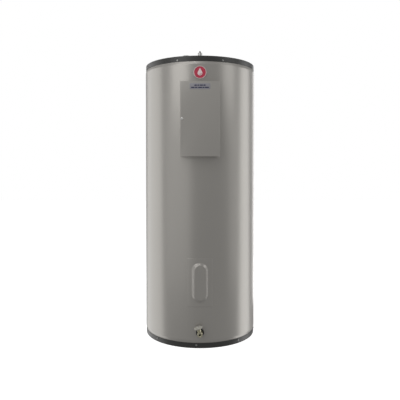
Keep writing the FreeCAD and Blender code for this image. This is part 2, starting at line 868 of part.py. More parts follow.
def anode_rod():
    return rod("anode", s.anode_radius, s.anode_length, (0, s.anode_back, s.anode_foot))


def relief_valve_body():
    """The valve's inlet shank, wrench hexagon, barrel and rearward outlet."""
    barrel, joint, seat, foot = s.valve_barrel, s.valve_joint, s.valve_seat, s.valve_foot
    shoulder, reach, depth = s.fitting_shoulder, s.valve_outlet_reach, s.valve_outlet_depth
    outlet_height = s.valve_outlet_height
    outline = [(s.valve_bore, foot), (s.pipe_radius, foot), (s.pipe_radius, shoulder),
               (barrel, shoulder), (barrel, joint), (s.valve_chamber, joint),
               (s.valve_chamber, seat), (s.valve_bore, seat)]
    core = turned("valve_core", outline)
    collar = cut("valve_collar", hexagon("valve_hexagon", s.valve_wrench, s.wrench_height,
                                         (0, 0, shoulder)),
                 rod("valve_collar_bore", barrel - 1, s.wrench_height + 2, (0, 0, shoulder - 1)))
    port = cut("valve_port", rod("valve_port_boss", barrel, reach, (0, 0, outlet_height), ALONG_Y),
               rod("valve_port_core", barrel - 1, 60, (0, 0, seat)))
    passage = rod("valve_outlet_passage", s.valve_passage, reach - depth, (0, 1, outlet_height),
                  ALONG_Y)
    outlet = rod("valve_outlet_bore", s.valve_outlet_bore, depth + 5, (0, reach - depth, outlet_height),
                 ALONG_Y)
    return cut("valve_body", fused("valve_blank", [core, collar, port]), passage, outlet)


def relief_valve_bonnet():
    """The spring's case, crimped onto the valve body."""
    joint, cap = s.valve_joint, s.valve_cap
    bore, chamber, barrel = s.valve_stem + 0.06, s.valve_chamber, s.valve_barrel
    outline = [(chamber, joint), (barrel - 1, joint), (barrel - 3.5, joint + 4),
               (barrel - 3.5, cap - 2), (barrel - 5.5, cap), (bore, cap), (bore, cap - 3),
               (chamber, cap - 3)]
    return turned("valve_bonnet", outline)


def relief_valve_stem():
    """The stem, with the disc that closes on the seat."""
    seat, top, stem, disc = s.valve_seat, s.lever_pivot, s.valve_stem, s.valve_disc
    outline = [(0, seat + 0.3), (disc, seat + 0.3), (disc, seat + 3), (stem, seat + 3),
               (stem, top + 2.5), (stem - 1, top + 3.5), (0, top + 3.5)]
    blank = turned("valve_stem", outline)
    return cut("valve_stem_bored", blank, rod("valve_stem_hole", 1.0, 10, (-5, 0, top), ALONG_X))


def relief_lever_pin():
    return rod("lever_pin", 1.0, 8.6, (-4.3, 0, s.lever_pivot), ALONG_X)


def relief_valve_lever():
    """A folded strip whose two cheeks straddle the stem, with a tail towards the back."""
    pivot, half, cheek, end = s.lever_pivot, s.lever_half_width, s.lever_cheek, s.lever_tail
    under, over = pivot + 2.5, pivot + 4
    cheeks = [block("lever_cheek", (low, low + cheek), (-4, 12), (pivot - 3.5, pivot + 3.5))
              for low in (-half, half - cheek)]
    bridge = block("lever_bridge", (-half, half), (5, 12), (under, over))
    tail = block("lever_tail", (-half, half), (11, end), (under, over))
    lip = block("lever_lip", (-half, half), (end - 1.5, end), (pivot - 2, over))
    hole = rod("lever_hole", 1.06, 12, (-6, 0, pivot), ALONG_X)
    return cut("lever", fused("lever_blank", cheeks + [bridge, tail, lip]), hole)


def relief_valve_spring():
    """A coil between the stem's disc and the top of the bonnet."""
    wire, radius, turns = 0.9, 7.2, 6
    low = s.valve_seat.value + 3.2 + wire
    high = s.valve_cap.value - 3.2 - wire
    helix = Part.makeHelix((high - low) / turns, high - low, radius)
    section = Part.Wire(Part.makeCircle(wire, Vector(radius, 0, 0), Vector(0, 1, 0)))
    coil = Part.Wire(helix).makePipeShell([section], True, True)
    coil.translate(Vector(0, 0, low))
    return shaped("valve_spring", coil)


def relief_probe():
    """The temperature probe that hangs from the valve into the top of the tank."""
    foot = s.probe_foot
    return rod("probe", s.probe_radius, s.valve_seat - foot - 1, (0, 0, foot))


def conduit_hub():
    """A flanged bushing in the top cover for the installer's conduit connector."""
    bore, top = s.conduit_bore, s.overall_height
    neck, flange = bore + s.hub_neck, bore + s.hub_flange
    outline = [(bore, top - 7), (neck, top - 7), (neck, top + 0.05), (flange, top + 0.05),
               (flange, top + 2), (flange - 1, top + 3), (bore, top + 3)]
    return turned("hub", outline, (s.conduit_across, -s.conduit_forward, 0))


def wiring_conduits():
    """The tube from the hub to the wiring pocket, and the tube between the two pockets."""
    outer = s.conduit_bore - 1
    supply = tube("supply_conduit", outer, outer - 1.2, s.overall_height - 8 - s.control_top - 1,
                  (s.conduit_across, -s.conduit_forward, s.control_top + 1))
    lower = tube("lower_conduit", 9, 7.8, s.control_bottom - s.access_top - 4,
                 (s.lower_conduit_across, -s.lower_conduit_forward, s.access_top + 2))
    return group("conduits", [supply, lower])


# ---- elements, thermostats and wiring ------------------------------------------------------------------


def element(name, height):
    """A screw-in plug with a hexagon head and a hairpin sheath that reaches across the tank."""
    face, head_face = -s.spud_face, -s.spud_face - s.element_head
    plug = rod(name + "_plug", s.element_plug_radius, 18, (0, face, height), ALONG_Y)
    head = hexagon(name + "_hexagon", s.element_wrench, s.element_head - 1.5, (0, head_face, height),
                   ALONG_Y)
    neck = rod(name + "_neck", 17, 3, (0, face - 2, height), ALONG_Y)
    sheath = shaped(name + "_sheath", hairpin(height.value))
    return fused(name, [plug, head, neck, sheath])


def hairpin(height):
    half, radius, reach = s.hairpin_half_width.value, s.hairpin_radius.value, s.element_reach.value
    start = -s.spud_face.value + 10
    ends = [Vector(-half, start, height), Vector(-half, reach, height),
            Vector(half, reach, height), Vector(half, start, height)]
    bend = Part.Arc(ends[1], Vector(0, reach + half, height), ends[2])
    path = Part.Wire([Part.LineSegment(ends[0], ends[1]).toShape(), bend.toShape(),
                      Part.LineSegment(ends[2], ends[3]).toShape()])
    return swept(path, radius)


def swept(path, radius):
    """A round solid along a wire that starts straight."""
    edge = path.OrderedEdges[0]
    start, direction = path.OrderedVertexes[0].Point, edge.tangentAt(edge.FirstParameter)
    section = Part.Wire(Part.makeCircle(radius, start, direction))
    return path.makePipeShell([section], True, False)


def heating_elements():
    return group("elements", [element("upper_element", s.upper_element_height),
                              element("lower_element", s.lower_element_height)])


def element_gaskets():
    rings = [tube("element_gasket", 24, 17.3, 1.4, (0, -s.spud_face - 1.45, height), ALONG_Y)
             for height in (s.upper_element_height, s.lower_element_height)]
    return group("gaskets", rings)


def element_insulators():
    face = -s.spud_face - s.element_head
    blocks = [block("element_insulator", (-16, 16), (face - 8, face), (height - 9, height + 9))
              for height in (s.upper_element_height, s.lower_element_height)]
    return group("insulators", blocks)


def terminal_screw(name, across, face, height):
    """A slotted screw head standing on a terminal."""
    head = rod(name, s.terminal_head, 2.4, (across, face - 2.4, height), ALONG_Y)
    slot = block(name + "_slot", (size(across) - 4, size(across) + 4), (face - 3, face - 1.4),
                 (size(height) - 0.5, size(height) + 0.5))
    return cut(name + "_slotted", head, slot)


def thermostat(name, half, low, high, dial, extra):
    """A moulded switch body held against the tank, bored for its dial."""
    back, front = -s.thermostat_back, -s.thermostat_front
    body = block(name + "_body", (-half, half), (front, back), (low, high))
    rib = block(name + "_rib", (-9, 9), (front - 3, front + 1), (dial[1] + 14, high - 34))
    shaft = rod(name + "_dial_hole", s.dial_shaft + 0.06, 8, (dial[0], front - 1, dial[1]), ALONG_Y)
    return cut(name, fused(name + "_blank", [body, rib]), shaft, *extra)


def upper_control():
    """The upper thermostat's half width, bottom and top, and its dial's place."""
    return (s.upper_control_half, s.upper_control_low, s.upper_control_high,
            (s.upper_dial_across, s.upper_dial_height))


def lower_control():
    return (s.lower_control_half, s.lower_control_low, s.lower_control_high,
            (s.lower_dial_across, s.lower_dial_height))


def upper_thermostat():
    button = rod("reset_hole", s.button_radius + 0.1, 14, (0, -s.thermostat_front - 1, s.reset_height),
                 ALONG_Y)
    return thermostat("upper_control", *upper_control(), [button])


def lower_thermostat():
    return thermostat("lower_control", *lower_control(), [])


def dial(name, across, height):
    """A thermostat dial with its shaft and a screwdriver slot."""
    face = -s.thermostat_front - 0.3
    disc = rod(name + "_disc", s.dial_radius, 3, (across, face - 3, height), ALONG_Y)
    shaft = rod(name + "_shaft", s.dial_shaft, 6, (across, face - 1, height), ALONG_Y)
    slot = block(name + "_slot", (across - 0.9, across + 0.9), (face - 4, face - 1.6),
                 (height - 6, height + 10))
    return cut(name, fused(name + "_blank", [disc, shaft]), slot)


def upper_dial():
    return dial("upper_dial_body", s.upper_dial_across, s.upper_dial_height)


def lower_dial():
    return dial("lower_dial_body", s.lower_dial_across, s.lower_dial_height)


def reset_button():
    return rod("reset_plunger", s.button_radius, 12, (0, -s.thermostat_front - 3.5, s.reset_height),
               ALONG_Y)


def bracket(name, height, half, low, high):
    """A spring-steel clip round an element's spud, with two arms that hold a thermostat."""
    back, front, steel = Size(-265.2), -s.thermostat_front - 2, 1.2
    wide = s.element_spud_radius + 7
    plate = cut(name + "_plate",
                block(name + "_plate_blank", (-wide, wide), (back - steel, back),
                      (height - 32, low - 3)),
                rod(name + "_plate_hole", s.element_spud_radius + 0.3, 20, (0, -275, height), ALONG_Y))
    pieces = [plate]
    for side in (-1, 1):
        inner, outer, tip = (half + 0.8) * side, (half + 2) * side, (half - 5) * side
        arm = (inner, outer) if side > 0 else (outer, inner)
        lip = (tip, outer) if side > 0 else (outer, tip)
        pieces.append(block(name + "_arm", arm, (front, back), (low - 14, high - 10)))
        pieces.append(block(name + "_lip", lip, (front, front + steel), (high - 26, high - 10)))
    return fused(name, pieces)


def thermostat_brackets():
    return group("brackets", [
        bracket("upper_bracket", s.upper_element_height, *upper_control()[:3]),
        bracket("lower_bracket", s.lower_element_height, *lower_control()[:3]),
    ])


def terminal_bracket():
    """The plate inside the box that carries the supply block."""
    half, low = s.supply_block_half + 8, s.supply_block_low - 12
    return block("terminal_plate", (-half, half), (-310.8, -309.6), (low, s.supply_block_high + 40))


def terminal_block():
    """A three-pole block with raised barriers between its poles."""
    half, face = s.supply_block_half, -s.supply_block_face
    tall = (s.supply_block_low, s.supply_block_high)
    base = block("terminal_base", (-half, half), (face, -310.8), tall)
    barriers = [block("terminal_barrier", (middle - 1.5, middle + 1.5), (face - 5, face + 1), tall)
                for middle in (-half + 1.5, -15, 15, half - 1.5)]
    return fused("terminal_strip", [base] + barriers)


def terminal_screws():
    """The screws of the elements, the thermostats and the supply block."""
    screws = [terminal_screw("element_terminal", across, -s.spud_face - 19, height)
              for height in (s.upper_element_height, s.lower_element_height)
              for across in (-8.5, 8.5)]
    screws += [terminal_screw("upper_control_terminal", across, -s.thermostat_front, height)
               for across in (-18, 18) for height in (1154, 1178, 1202)]
    screws += [terminal_screw("lower_control_terminal", across, -s.thermostat_front, 396)
               for across in (-15, 15)]
    screws += [terminal_screw("supply_terminal", across, -s.supply_block_face, height)
               for across in (-30, 0, 30) for height in (1292, 1315)]
    return group("terminals", screws)


def ground_screw():
    """The green screw beside the wiring opening, turned to face straight out of the jacket."""
    turn = Rotation(Vector(0, 0, 1), 14)
    seat = turn.multVec(Vector(0, -s.jacket_radius.value, 0)) + Vector(0, 0, 1346.3)
    return copies("ground", sheet_screw(), [Placement(seat, turn)])


def routed_wire(name, points):
    """A wire whose straight runs are joined by tangent arcs."""
    bend = 7.0
    corners = [Vector(*point) for point in points]
    edges, start = [], corners[0]
    for before, corner, after in zip(corners, corners[1:], corners[2:]):
        inward, outward = (corner - before).normalize(), (after - corner).normalize()
        half_turn = inward.getAngle(outward) / 2
        trim = bend * math.tan(half_turn)
        first, last = corner - inward * trim, corner + outward * trim
        middle = corner + (outward - inward).normalize() * (bend / math.cos(half_turn) - bend)
        edges.append(Part.LineSegment(start, first).toShape())
        edges.append(Part.Arc(first, middle, last).toShape())
        start = last
    edges.append(Part.LineSegment(start, corners[-1]).toShape())
    path = Part.Wire(edges)
    solid = swept(path, s.wire_radius.value)
    ideal = path.Length * math.pi * s.wire_radius.value ** 2
    print(f"{name}: {path.Length:.1f} mm long, volume {solid.Volume / ideal:.4f} of its section x length")
    return shaped(name, solid)


def black_wires():
    """Supply to the limit switch, upper thermostat to element, and the feed to the lower pocket."""
    return group("black_wire_group", [
        routed_wire("black_supply", [(-30, -324, 1287), (-30, -324, 1262), (-18, -300, 1236),
                                     (-18, -286.4, 1207)]),
        routed_wire("black_upper", [(-18, -286.4, 1149), (-18, -296, 1126), (-13, -297, 1092),
                                    (-8.5, -295.4, 1065)]),
        routed_wire("black_feed", [(-22.5, -286.4, 1178), (-45, -290, 1164), (-45, -290, 1030),
                                   (-20, -287, 1028), (26.5, -283, 1024),
                                   (26.5, -283, 446), (22, -288, 424), (16, -286.6, 401)]),
    ])


def red_wires():
    return group("red_wire_group", [
        routed_wire("red_supply", [(30, -324, 1287), (30, -324, 1262), (18, -300, 1236),
                                   (18, -286.4, 1207)]),
        routed_wire("red_upper", [(18, -286.4, 1149), (18, -296, 1126), (13, -297, 1092),
                                  (8.5, -295.4, 1065)]),
        routed_wire("red_feed", [(22.5, -286.4, 1178), (45, -290, 1160), (45, -290, 1050),
                                 (33.5, -283, 1022), (33.5, -283, 446), (42, -288, 410),
                                 (42, -291, 300), (12.5, -295.4, 268)]),
        routed_wire("red_lower", [(-15, -286.6, 391), (-36, -291, 366), (-36, -291, 300),
                                  (-12.5, -295.4, 268)]),
    ])


# ---- drain valve -----------------------------------------------------------------------------------------

# The valve is drawn about the crossing of its barrel and its stem's column, then leant sideways.
DRAIN_LEAN = Rotation(Vector(0, 1, 0), -s.drain_tilt.value)
DRAIN_CENTRE = (0, -s.drain_column, s.drain_height)


def leant(item):
    """Stands a piece of the drain valve, drawn about the origin, in its place on the heater."""
    doc.recompute()
    place_there = Placement(Vector(*(size(value).value for value in DRAIN_CENTRE)), DRAIN_LEAN)
    solid = item.Shape.copy()
    solid.Placement = place_there.multiply(solid.Placement)
    return shaped(item.Name + "_in_place", solid)


def drain_valve_body():
    """A brass barrel from the tank to the hose thread, with a column for the stem."""
    column = s.drain_column
    inlet_end = column - 255
    shank = rod("drain_shank", s.drain_shank, 17, (0, column - s.spud_face, 0), ALONG_Y)
    pipe = rod("drain_pipe", s.drain_pipe, inlet_end, (0, 0, 0), ALONG_Y)
    wrench = hexagon("drain_wrench", s.drain_wrench, 8, (0, 12, 0), ALONG_Y)
    middle = ball("drain_middle", s.drain_wrench, (0, 0, 0))
    tower = rod("drain_tower", s.drain_tower, 16, (0, 0, -2))
    tip, length, groove = s.hose_thread_tip, s.hose_thread_length, s.hose_groove
    neck = rod("drain_neck", s.drain_neck, tip - length + 1, (0, length - tip - 1, 0), ALONG_Y)
    thread = rod("drain_thread", s.hose_thread_radius, length, (0, -tip, 0), ALONG_Y)
    ridges = [cut("drain_thread_groove",
                  rod("drain_groove_outside", s.hose_thread_radius + 1, groove, (0, depth - tip, 0),
                      ALONG_Y),
                  rod("drain_groove_core", s.hose_thread_radius - 0.7, groove, (0, depth - tip, 0),
                      ALONG_Y))
              for depth in (s.hose_pitch - groove, s.hose_pitch * 2 - groove, s.hose_pitch * 3 - groove)]
    solid = fused("drain_blank", [shank, pipe, wrench, middle, tower, neck, thread])
    bore = rod("drain_through_bore", s.drain_bore, 120, (0, -25, 0), ALONG_Y)
    room = rod("drain_washer_room", 7, 20, (0, 0, -5.6))
    return leant(cut("drain_body", solid, bore, room, *ridges))


def drain_bonnet():
    """The hexagon nut and packing that close the column round the stem."""
    nut = hexagon("bonnet_hexagon", s.bonnet_wrench, 8, (0, 0, 14.05))
    gland = rod("bonnet_gland", s.bonnet_gland, 3, (0, 0, 22))
    bore = rod("bonnet_bore", s.drain_stem_radius + 0.05, 14, (0, 0, 13))
    return leant(cut("bonnet", fused("bonnet_blank", [nut, gland]), bore))


def drain_stem():
    return leant(rod("drain_spindle", s.drain_stem_radius, 36.6, (0, 0, 0.9)))


def drain_washer():
    return leant(rod("drain_rubber", 6.6, 2.6, (0, 0, -1.7)))


def drain_knob():
    """A fluted round knob with a raised hub."""
    radius, bore = s.drain_knob_radius, s.drain_stem_radius + 0.05
    rim = turned("knob_rim", [(bore, 26), (8, 26), (9, 28), (radius - 2, 27.5), (radius, 29.5),
                              (radius, 34.5), (radius - 2, 36.5), (9.5, 35), (8, 38), (bore, 38)])
    flutes = [rod("knob_flute", 5, 14,
                  ((radius + 2.6) * math.cos(math.radians(angle)),
                   (radius + 2.6) * math.sin(math.radians(angle)), 25))
              for angle in range(0, 360, 45)]
    return leant(cut("knob", rim, *flutes))


def drain_knob_screw():
    head = rod("knob_screw_head", 5, 2.4, (0, 0, 38.1))
    slot = block("knob_screw_slot", (-6, 6), (-0.6, 0.6), (39.4, 42))
    return leant(cut("knob_screw", head, slot))


def drain_trim_ring():
    """The dark flanged sleeve that lines the jacket's hole."""
    bore, face, height = s.trim_bore, -s.jacket_radius, s.drain_height
    sleeve = tube("trim_sleeve", s.drain_hole - 0.2, bore, 24, (0, face - 2, height), ALONG_Y)
    flange = tube("trim_flange", s.trim_flange, bore, s.trim_proud - 0.3, (0, face - s.trim_proud, height),
                  ALONG_Y)
    return fused("trim_ring", [sleeve, flange])


SUB_PARTS = [
    outer_jacket, base_pan, top_cover, pan_screws,
    control_box, control_box_screws, control_door, door_hinge_pins, door_screw, door_screw_retainer,
    door_label, badge_bezel, badge_disc, lower_access_cover,
    tank_shell, tank_top_head, tank_bottom_head, tank_skirt, tank_spuds,
    foam_insulation, foam_dams,
    cold_inlet_nipple, hot_outlet_nipple, heat_trap_inserts, dip_tube, cold_inlet_ring,
    hot_outlet_ring, anode_head, anode_rod, relief_valve_body, relief_valve_bonnet,
    relief_valve_stem, relief_lever_pin, relief_valve_lever, relief_valve_spring, relief_probe,
    conduit_hub, wiring_conduits,
    heating_elements, element_gaskets, element_insulators, upper_thermostat, lower_thermostat,
    upper_dial, lower_dial, reset_button, thermostat_brackets, terminal_bracket, terminal_block,
    terminal_screws, ground_screw, black_wires, red_wires,
    drain_valve_body, drain_bonnet, drain_stem, drain_washer, drain_knob, drain_knob_screw,
    drain_trim_ring,
]


def main():
    os.makedirs("parts", exist_ok=True)
    made = []
    for maker in SUB_PARTS:
        item = maker()
        item.Label = maker.__name__
        made.append(item)
    doc.recompute()
    for item in doc.Objects:
        if "Invalid" in item.State or "Error" in item.State:
            raise RuntimeError(f"{item.Label} failed: {item.State}")
    for item in made:
        shape = item.Shape
        if shape.isNull() or not shape.isValid() or not shape.Solids:
            raise RuntimeError(f"{item.Label} has no valid solid")
        shape.exportStep(f"parts/{item.Label}.step")
        print(f"{item.Label}: {len(shape.Solids)} solid(s), {shape.Volume / 1000:.1f} cm3")
    print(len(made), "sub-parts")


main()
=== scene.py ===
import json
import math

import bmesh
import bpy
from mathutils import Matrix, Vector


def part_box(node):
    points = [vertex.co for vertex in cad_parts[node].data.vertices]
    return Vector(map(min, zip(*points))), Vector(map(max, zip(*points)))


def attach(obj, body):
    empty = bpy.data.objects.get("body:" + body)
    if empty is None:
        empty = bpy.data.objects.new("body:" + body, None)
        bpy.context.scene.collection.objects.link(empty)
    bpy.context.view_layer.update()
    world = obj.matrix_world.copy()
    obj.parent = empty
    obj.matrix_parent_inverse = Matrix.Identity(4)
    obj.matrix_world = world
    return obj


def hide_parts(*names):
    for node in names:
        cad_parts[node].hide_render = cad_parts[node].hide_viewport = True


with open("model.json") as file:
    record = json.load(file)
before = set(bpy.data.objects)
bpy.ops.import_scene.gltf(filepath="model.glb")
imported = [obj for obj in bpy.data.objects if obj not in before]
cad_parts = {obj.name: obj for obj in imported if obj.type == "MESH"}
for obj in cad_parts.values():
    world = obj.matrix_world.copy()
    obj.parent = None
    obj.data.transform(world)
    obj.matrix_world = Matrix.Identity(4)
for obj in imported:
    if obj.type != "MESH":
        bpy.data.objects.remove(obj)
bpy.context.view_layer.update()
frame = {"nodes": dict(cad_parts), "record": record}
nodes = frame["nodes"]
record = frame["record"]

MM = 0.001


def mm(points):
    """Outline points that are written in millimetres."""
    return [(a * MM, b * MM) for a, b in points]


def at(x=0.0, y=0.0, z=0.0):
    return Matrix.Translation((x, y, z))


def rotate(degrees, axis):
    return Matrix.Rotation(math.radians(degrees), 4, axis)


FRONT = rotate(90, "X")  # turns +Z to -Y


def span(node):
    """A node's lowest and highest corners as vectors."""
    low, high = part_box(node)
    return Vector(low), Vector(high)


def centre(node):
    low, high = span(node)
    return (low + high) / 2


# ---- mesh building ----


def rounded(points, radius, steps=5):
    """An open outline whose inner corners are replaced by arcs; radius is one value or a list."""
    points = [Vector(p) for p in points]
    radii = radius if isinstance(radius, (list, tuple)) else [radius] * (len(points) - 2)
    path = [points[0]]
    for before, corner, after, bend in zip(points, points[1:], points[2:], radii):
        inward, outward = (corner - before), (after - corner)
        turn = inward.angle(outward)
        if turn < 1e-4 or bend <= 0:
            path.append(corner)
            continue
        trim = min(bend * math.tan(turn / 2), inward.length * 0.49, outward.length * 0.49)
        first = corner - inward.normalized() * trim
        last = corner + outward.normalized() * trim
        for step in range(steps + 1):
            t = step / steps
            path.append(first.lerp(corner, t).lerp(corner.lerp(last, t), t))
    path.append(points[-1])
    return path


def lathe(outline, segments=96, swell=None):
    """A surface turned about Z from (radius, height) points.

    swell(angle, radius, height) scales the radius.
    """
    mesh = bmesh.new()
    rings = []
    for radius, height in outline:
        if radius < 1e-7:
            rings.append([mesh.verts.new((0, 0, height))])
            continue
        ring = []
        for step in range(segments):
            angle = 2 * math.pi * step / segments
            scale = swell(angle, radius, height) if swell else 1.0
            ring.append(mesh.verts.new((radius * scale * math.cos(angle),
                                        radius * scale * math.sin(angle), height)))
        rings.append(ring)
    for lower, upper in zip(rings, rings[1:]):
        stitch(mesh, lower, upper)
    bmesh.ops.recalc_face_normals(mesh, faces=mesh.faces)
    return mesh


def stitch(mesh, lower, upper):
    """Faces between two rings, either of which may be a single point."""
    count = max(len(lower), len(upper))
    if len(lower) == 1 and len(upper) == 1:
        return
    for step in range(count):
        after = (step + 1) % count
        if len(lower) == 1:
            mesh.faces.new((lower[0], upper[after], upper[step]))
        elif len(upper) == 1:
            mesh.faces.new((lower[step], lower[after], upper[0]))
        else:
            mesh.faces.new((lower[step], lower[after], upper[after], upper[step]))


def slab(outline, depth, bevel=0.0):
    """A flat plate from a closed outline in XZ, its front at y = 0 and its back at y = depth."""
    mesh = bmesh.new()
    ring = [mesh.verts.new((x, 0, z)) for x, z in outline]
    face = mesh.faces.new(ring)
    moved = bmesh.ops.extrude_face_region(mesh, geom=[face])
    verts = [item for item in moved["geom"] if isinstance(item, bmesh.types.BMVert)]
    bmesh.ops.translate(mesh, verts=verts, vec=(0, depth, 0))
    bmesh.ops.recalc_face_normals(mesh, faces=mesh.faces)
    if bevel:
        soften(mesh, bevel)
    return mesh


def box(low, high, bevel=0.0, segments=2):
    mesh = bmesh.new()
    low, high = Vector(low), Vector(high)
    bmesh.ops.create_cube(mesh, size=1.0)
    bmesh.ops.scale(mesh, vec=high - low, verts=mesh.verts)
    bmesh.ops.translate(mesh, vec=(low + high) / 2, verts=mesh.verts)
    if bevel:
        soften(mesh, bevel, segments)
    return mesh


def soften(mesh, width, segments=2, angle=30):
    """Rounds every edge sharper than the angle."""
    sharp = [edge for edge in mesh.edges
             if len(edge.link_faces) == 2 and edge.calc_face_angle() > math.radians(angle)]
    bmesh.ops.bevel(mesh, geom=sharp, offset=width, segments=segments, profile=0.5,
                    affect="EDGES", clamp_overlap=True)


def arc(radius, degrees):
    """Points round the origin at a run of angles."""
    return [(radius * math.cos(math.radians(a)), radius * math.sin(math.radians(a))) for a in degrees]


def hexagon_outline(across_corners):
    return arc(across_corners / 2, range(0, 360, 60))


def moved(mesh, matrix):
    bmesh.ops.transform(mesh, matrix=matrix, verts=mesh.verts)
    return mesh


def piece(name, parts, material, body="root", replaces=(), smooth_angle=32):
    """Joins meshes into one object that rides a body and may stand for CAD nodes."""
    whole = bmesh.new()
    for part in parts:
        scratch = bpy.data.meshes.new("scratch")
        part.to_mesh(scratch)
        part.free()
        whole.from_mesh(scratch)
        bpy.data.meshes.remove(scratch)
    mesh = bpy.data.meshes.new(name)
    whole.to_mesh(mesh)
    whole.free()
    mesh.shade_smooth()
    mesh.set_sharp_from_angle(angle=math.radians(smooth_angle))
    thing = bpy.data.objects.new(name, mesh)
    bpy.context.scene.collection.objects.link(thing)
    mesh.materials.append(material)
    if replaces:
        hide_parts(*replaces)
    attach(thing, body)
    return thing


def carve(mesh, *cutters, operation="DIFFERENCE"):
    """Cuts closed meshes out of another, or keeps what they share, and returns the result."""
    target = temporary("carved", mesh)
    for index, cutter in enumerate(cutters):
        tool = temporary(f"cutter_{index}", cutter)
        step = target.modifiers.new("cut", "BOOLEAN")
        step.operation, step.solver, step.object = operation, "EXACT", tool
    evaluated = target.evaluated_get(bpy.context.evaluated_depsgraph_get())
    result = bmesh.new()
    result.from_mesh(evaluated.to_mesh())
    evaluated.to_mesh_clear()
    for thing in [step.object for step in target.modifiers] + [target]:
        data = thing.data
        bpy.data.objects.remove(thing)
        bpy.data.meshes.remove(data)
    return result


def temporary(name, mesh):
    data = bpy.data.meshes.new(name)
    mesh.to_mesh(data)
    mesh.free()
    thing = bpy.data.objects.new(name, data)
    bpy.context.scene.collection.objects.link(thing)
    bpy.context.view_layer.update()
    return thing


def drum(radius, low, high, segments=64):
    """A closed cylinder about Z, for cutting."""
    return lathe([(0, low), (radius, low), (radius, high), (0, high)], segments)


def tube_of(outline, segments=96, swell=None):
    """A ring-shaped solid turned about Z from a closed outline."""
    mesh = lathe(list(outline) + [outline[0]], segments, swell)
    bmesh.ops.remove_doubles(mesh, verts=mesh.verts, dist=1e-6)
    bmesh.ops.recalc_face_normals(mesh, faces=mesh.faces)
    return mesh


def turned(outline, radius, segments=64, steps=5):
    """A solid turned about Z from an outline with rounded corners."""
    return lathe(rounded(outline, radius, steps), segments)


def rows(radius, low, high, pitch, steps=8):
    """Evenly spaced outline points up a wall, close enough together to carry a thread."""
    count = math.ceil((high - low) / pitch * steps)
    return [(radius, low + (high - low) * k / count) for k in range(count + 1)]


def helix(wall, low, high, pitch, depth):
    """A swell for lathe that winds a thread round the walls wider than a radius.

    The thread runs out at its low end and is chamfered to its root at its high end.
    """
    def swell(angle, radius, height):
        if radius < wall or not low <= height <= high:
            return 1.0
        wave = 0.5 - 0.5 * math.cos(2 * math.pi * height / pitch - angle)
        run_out = min(1.0, (height - low) / pitch)
        tip = min(1.0, (high - height) / pitch)
        return 1 - depth * max(wave * run_out, 1 - tip) / radius
    return swell


def slab_up(outline, low, high, bevel):
    """A plate from an outline in XY between two heights."""
    return moved(slab(outline, high - low, bevel), at(z=low) @ FRONT)


def on_cylinder(turn, radius, height):
    """A place on an upright cylinder, looking outward; turn 0 is the front."""
    return Matrix.Rotation(turn, 4, "Z") @ at(0, -radius, height) @ FRONT


def nut(corner, low, high, hole=0.0):
    """A hexagon between two heights whose corners are turned off at both ends."""
    prism = slab_up(hexagon_outline(corner * 2), low, high, 0.0)
    rim, past, drop = corner * 0.885, corner * 1.005, corner * 0.075
    cone = lathe([(0, low), (rim, low), (past, low + drop), (past, high - drop), (rim, high),
                  (0, high)], 96)
    solid = carve(prism, cone, operation="INTERSECT")
    return carve(solid, drum(hole, low - MM, high + MM)) if hole else solid


# ---- materials ----


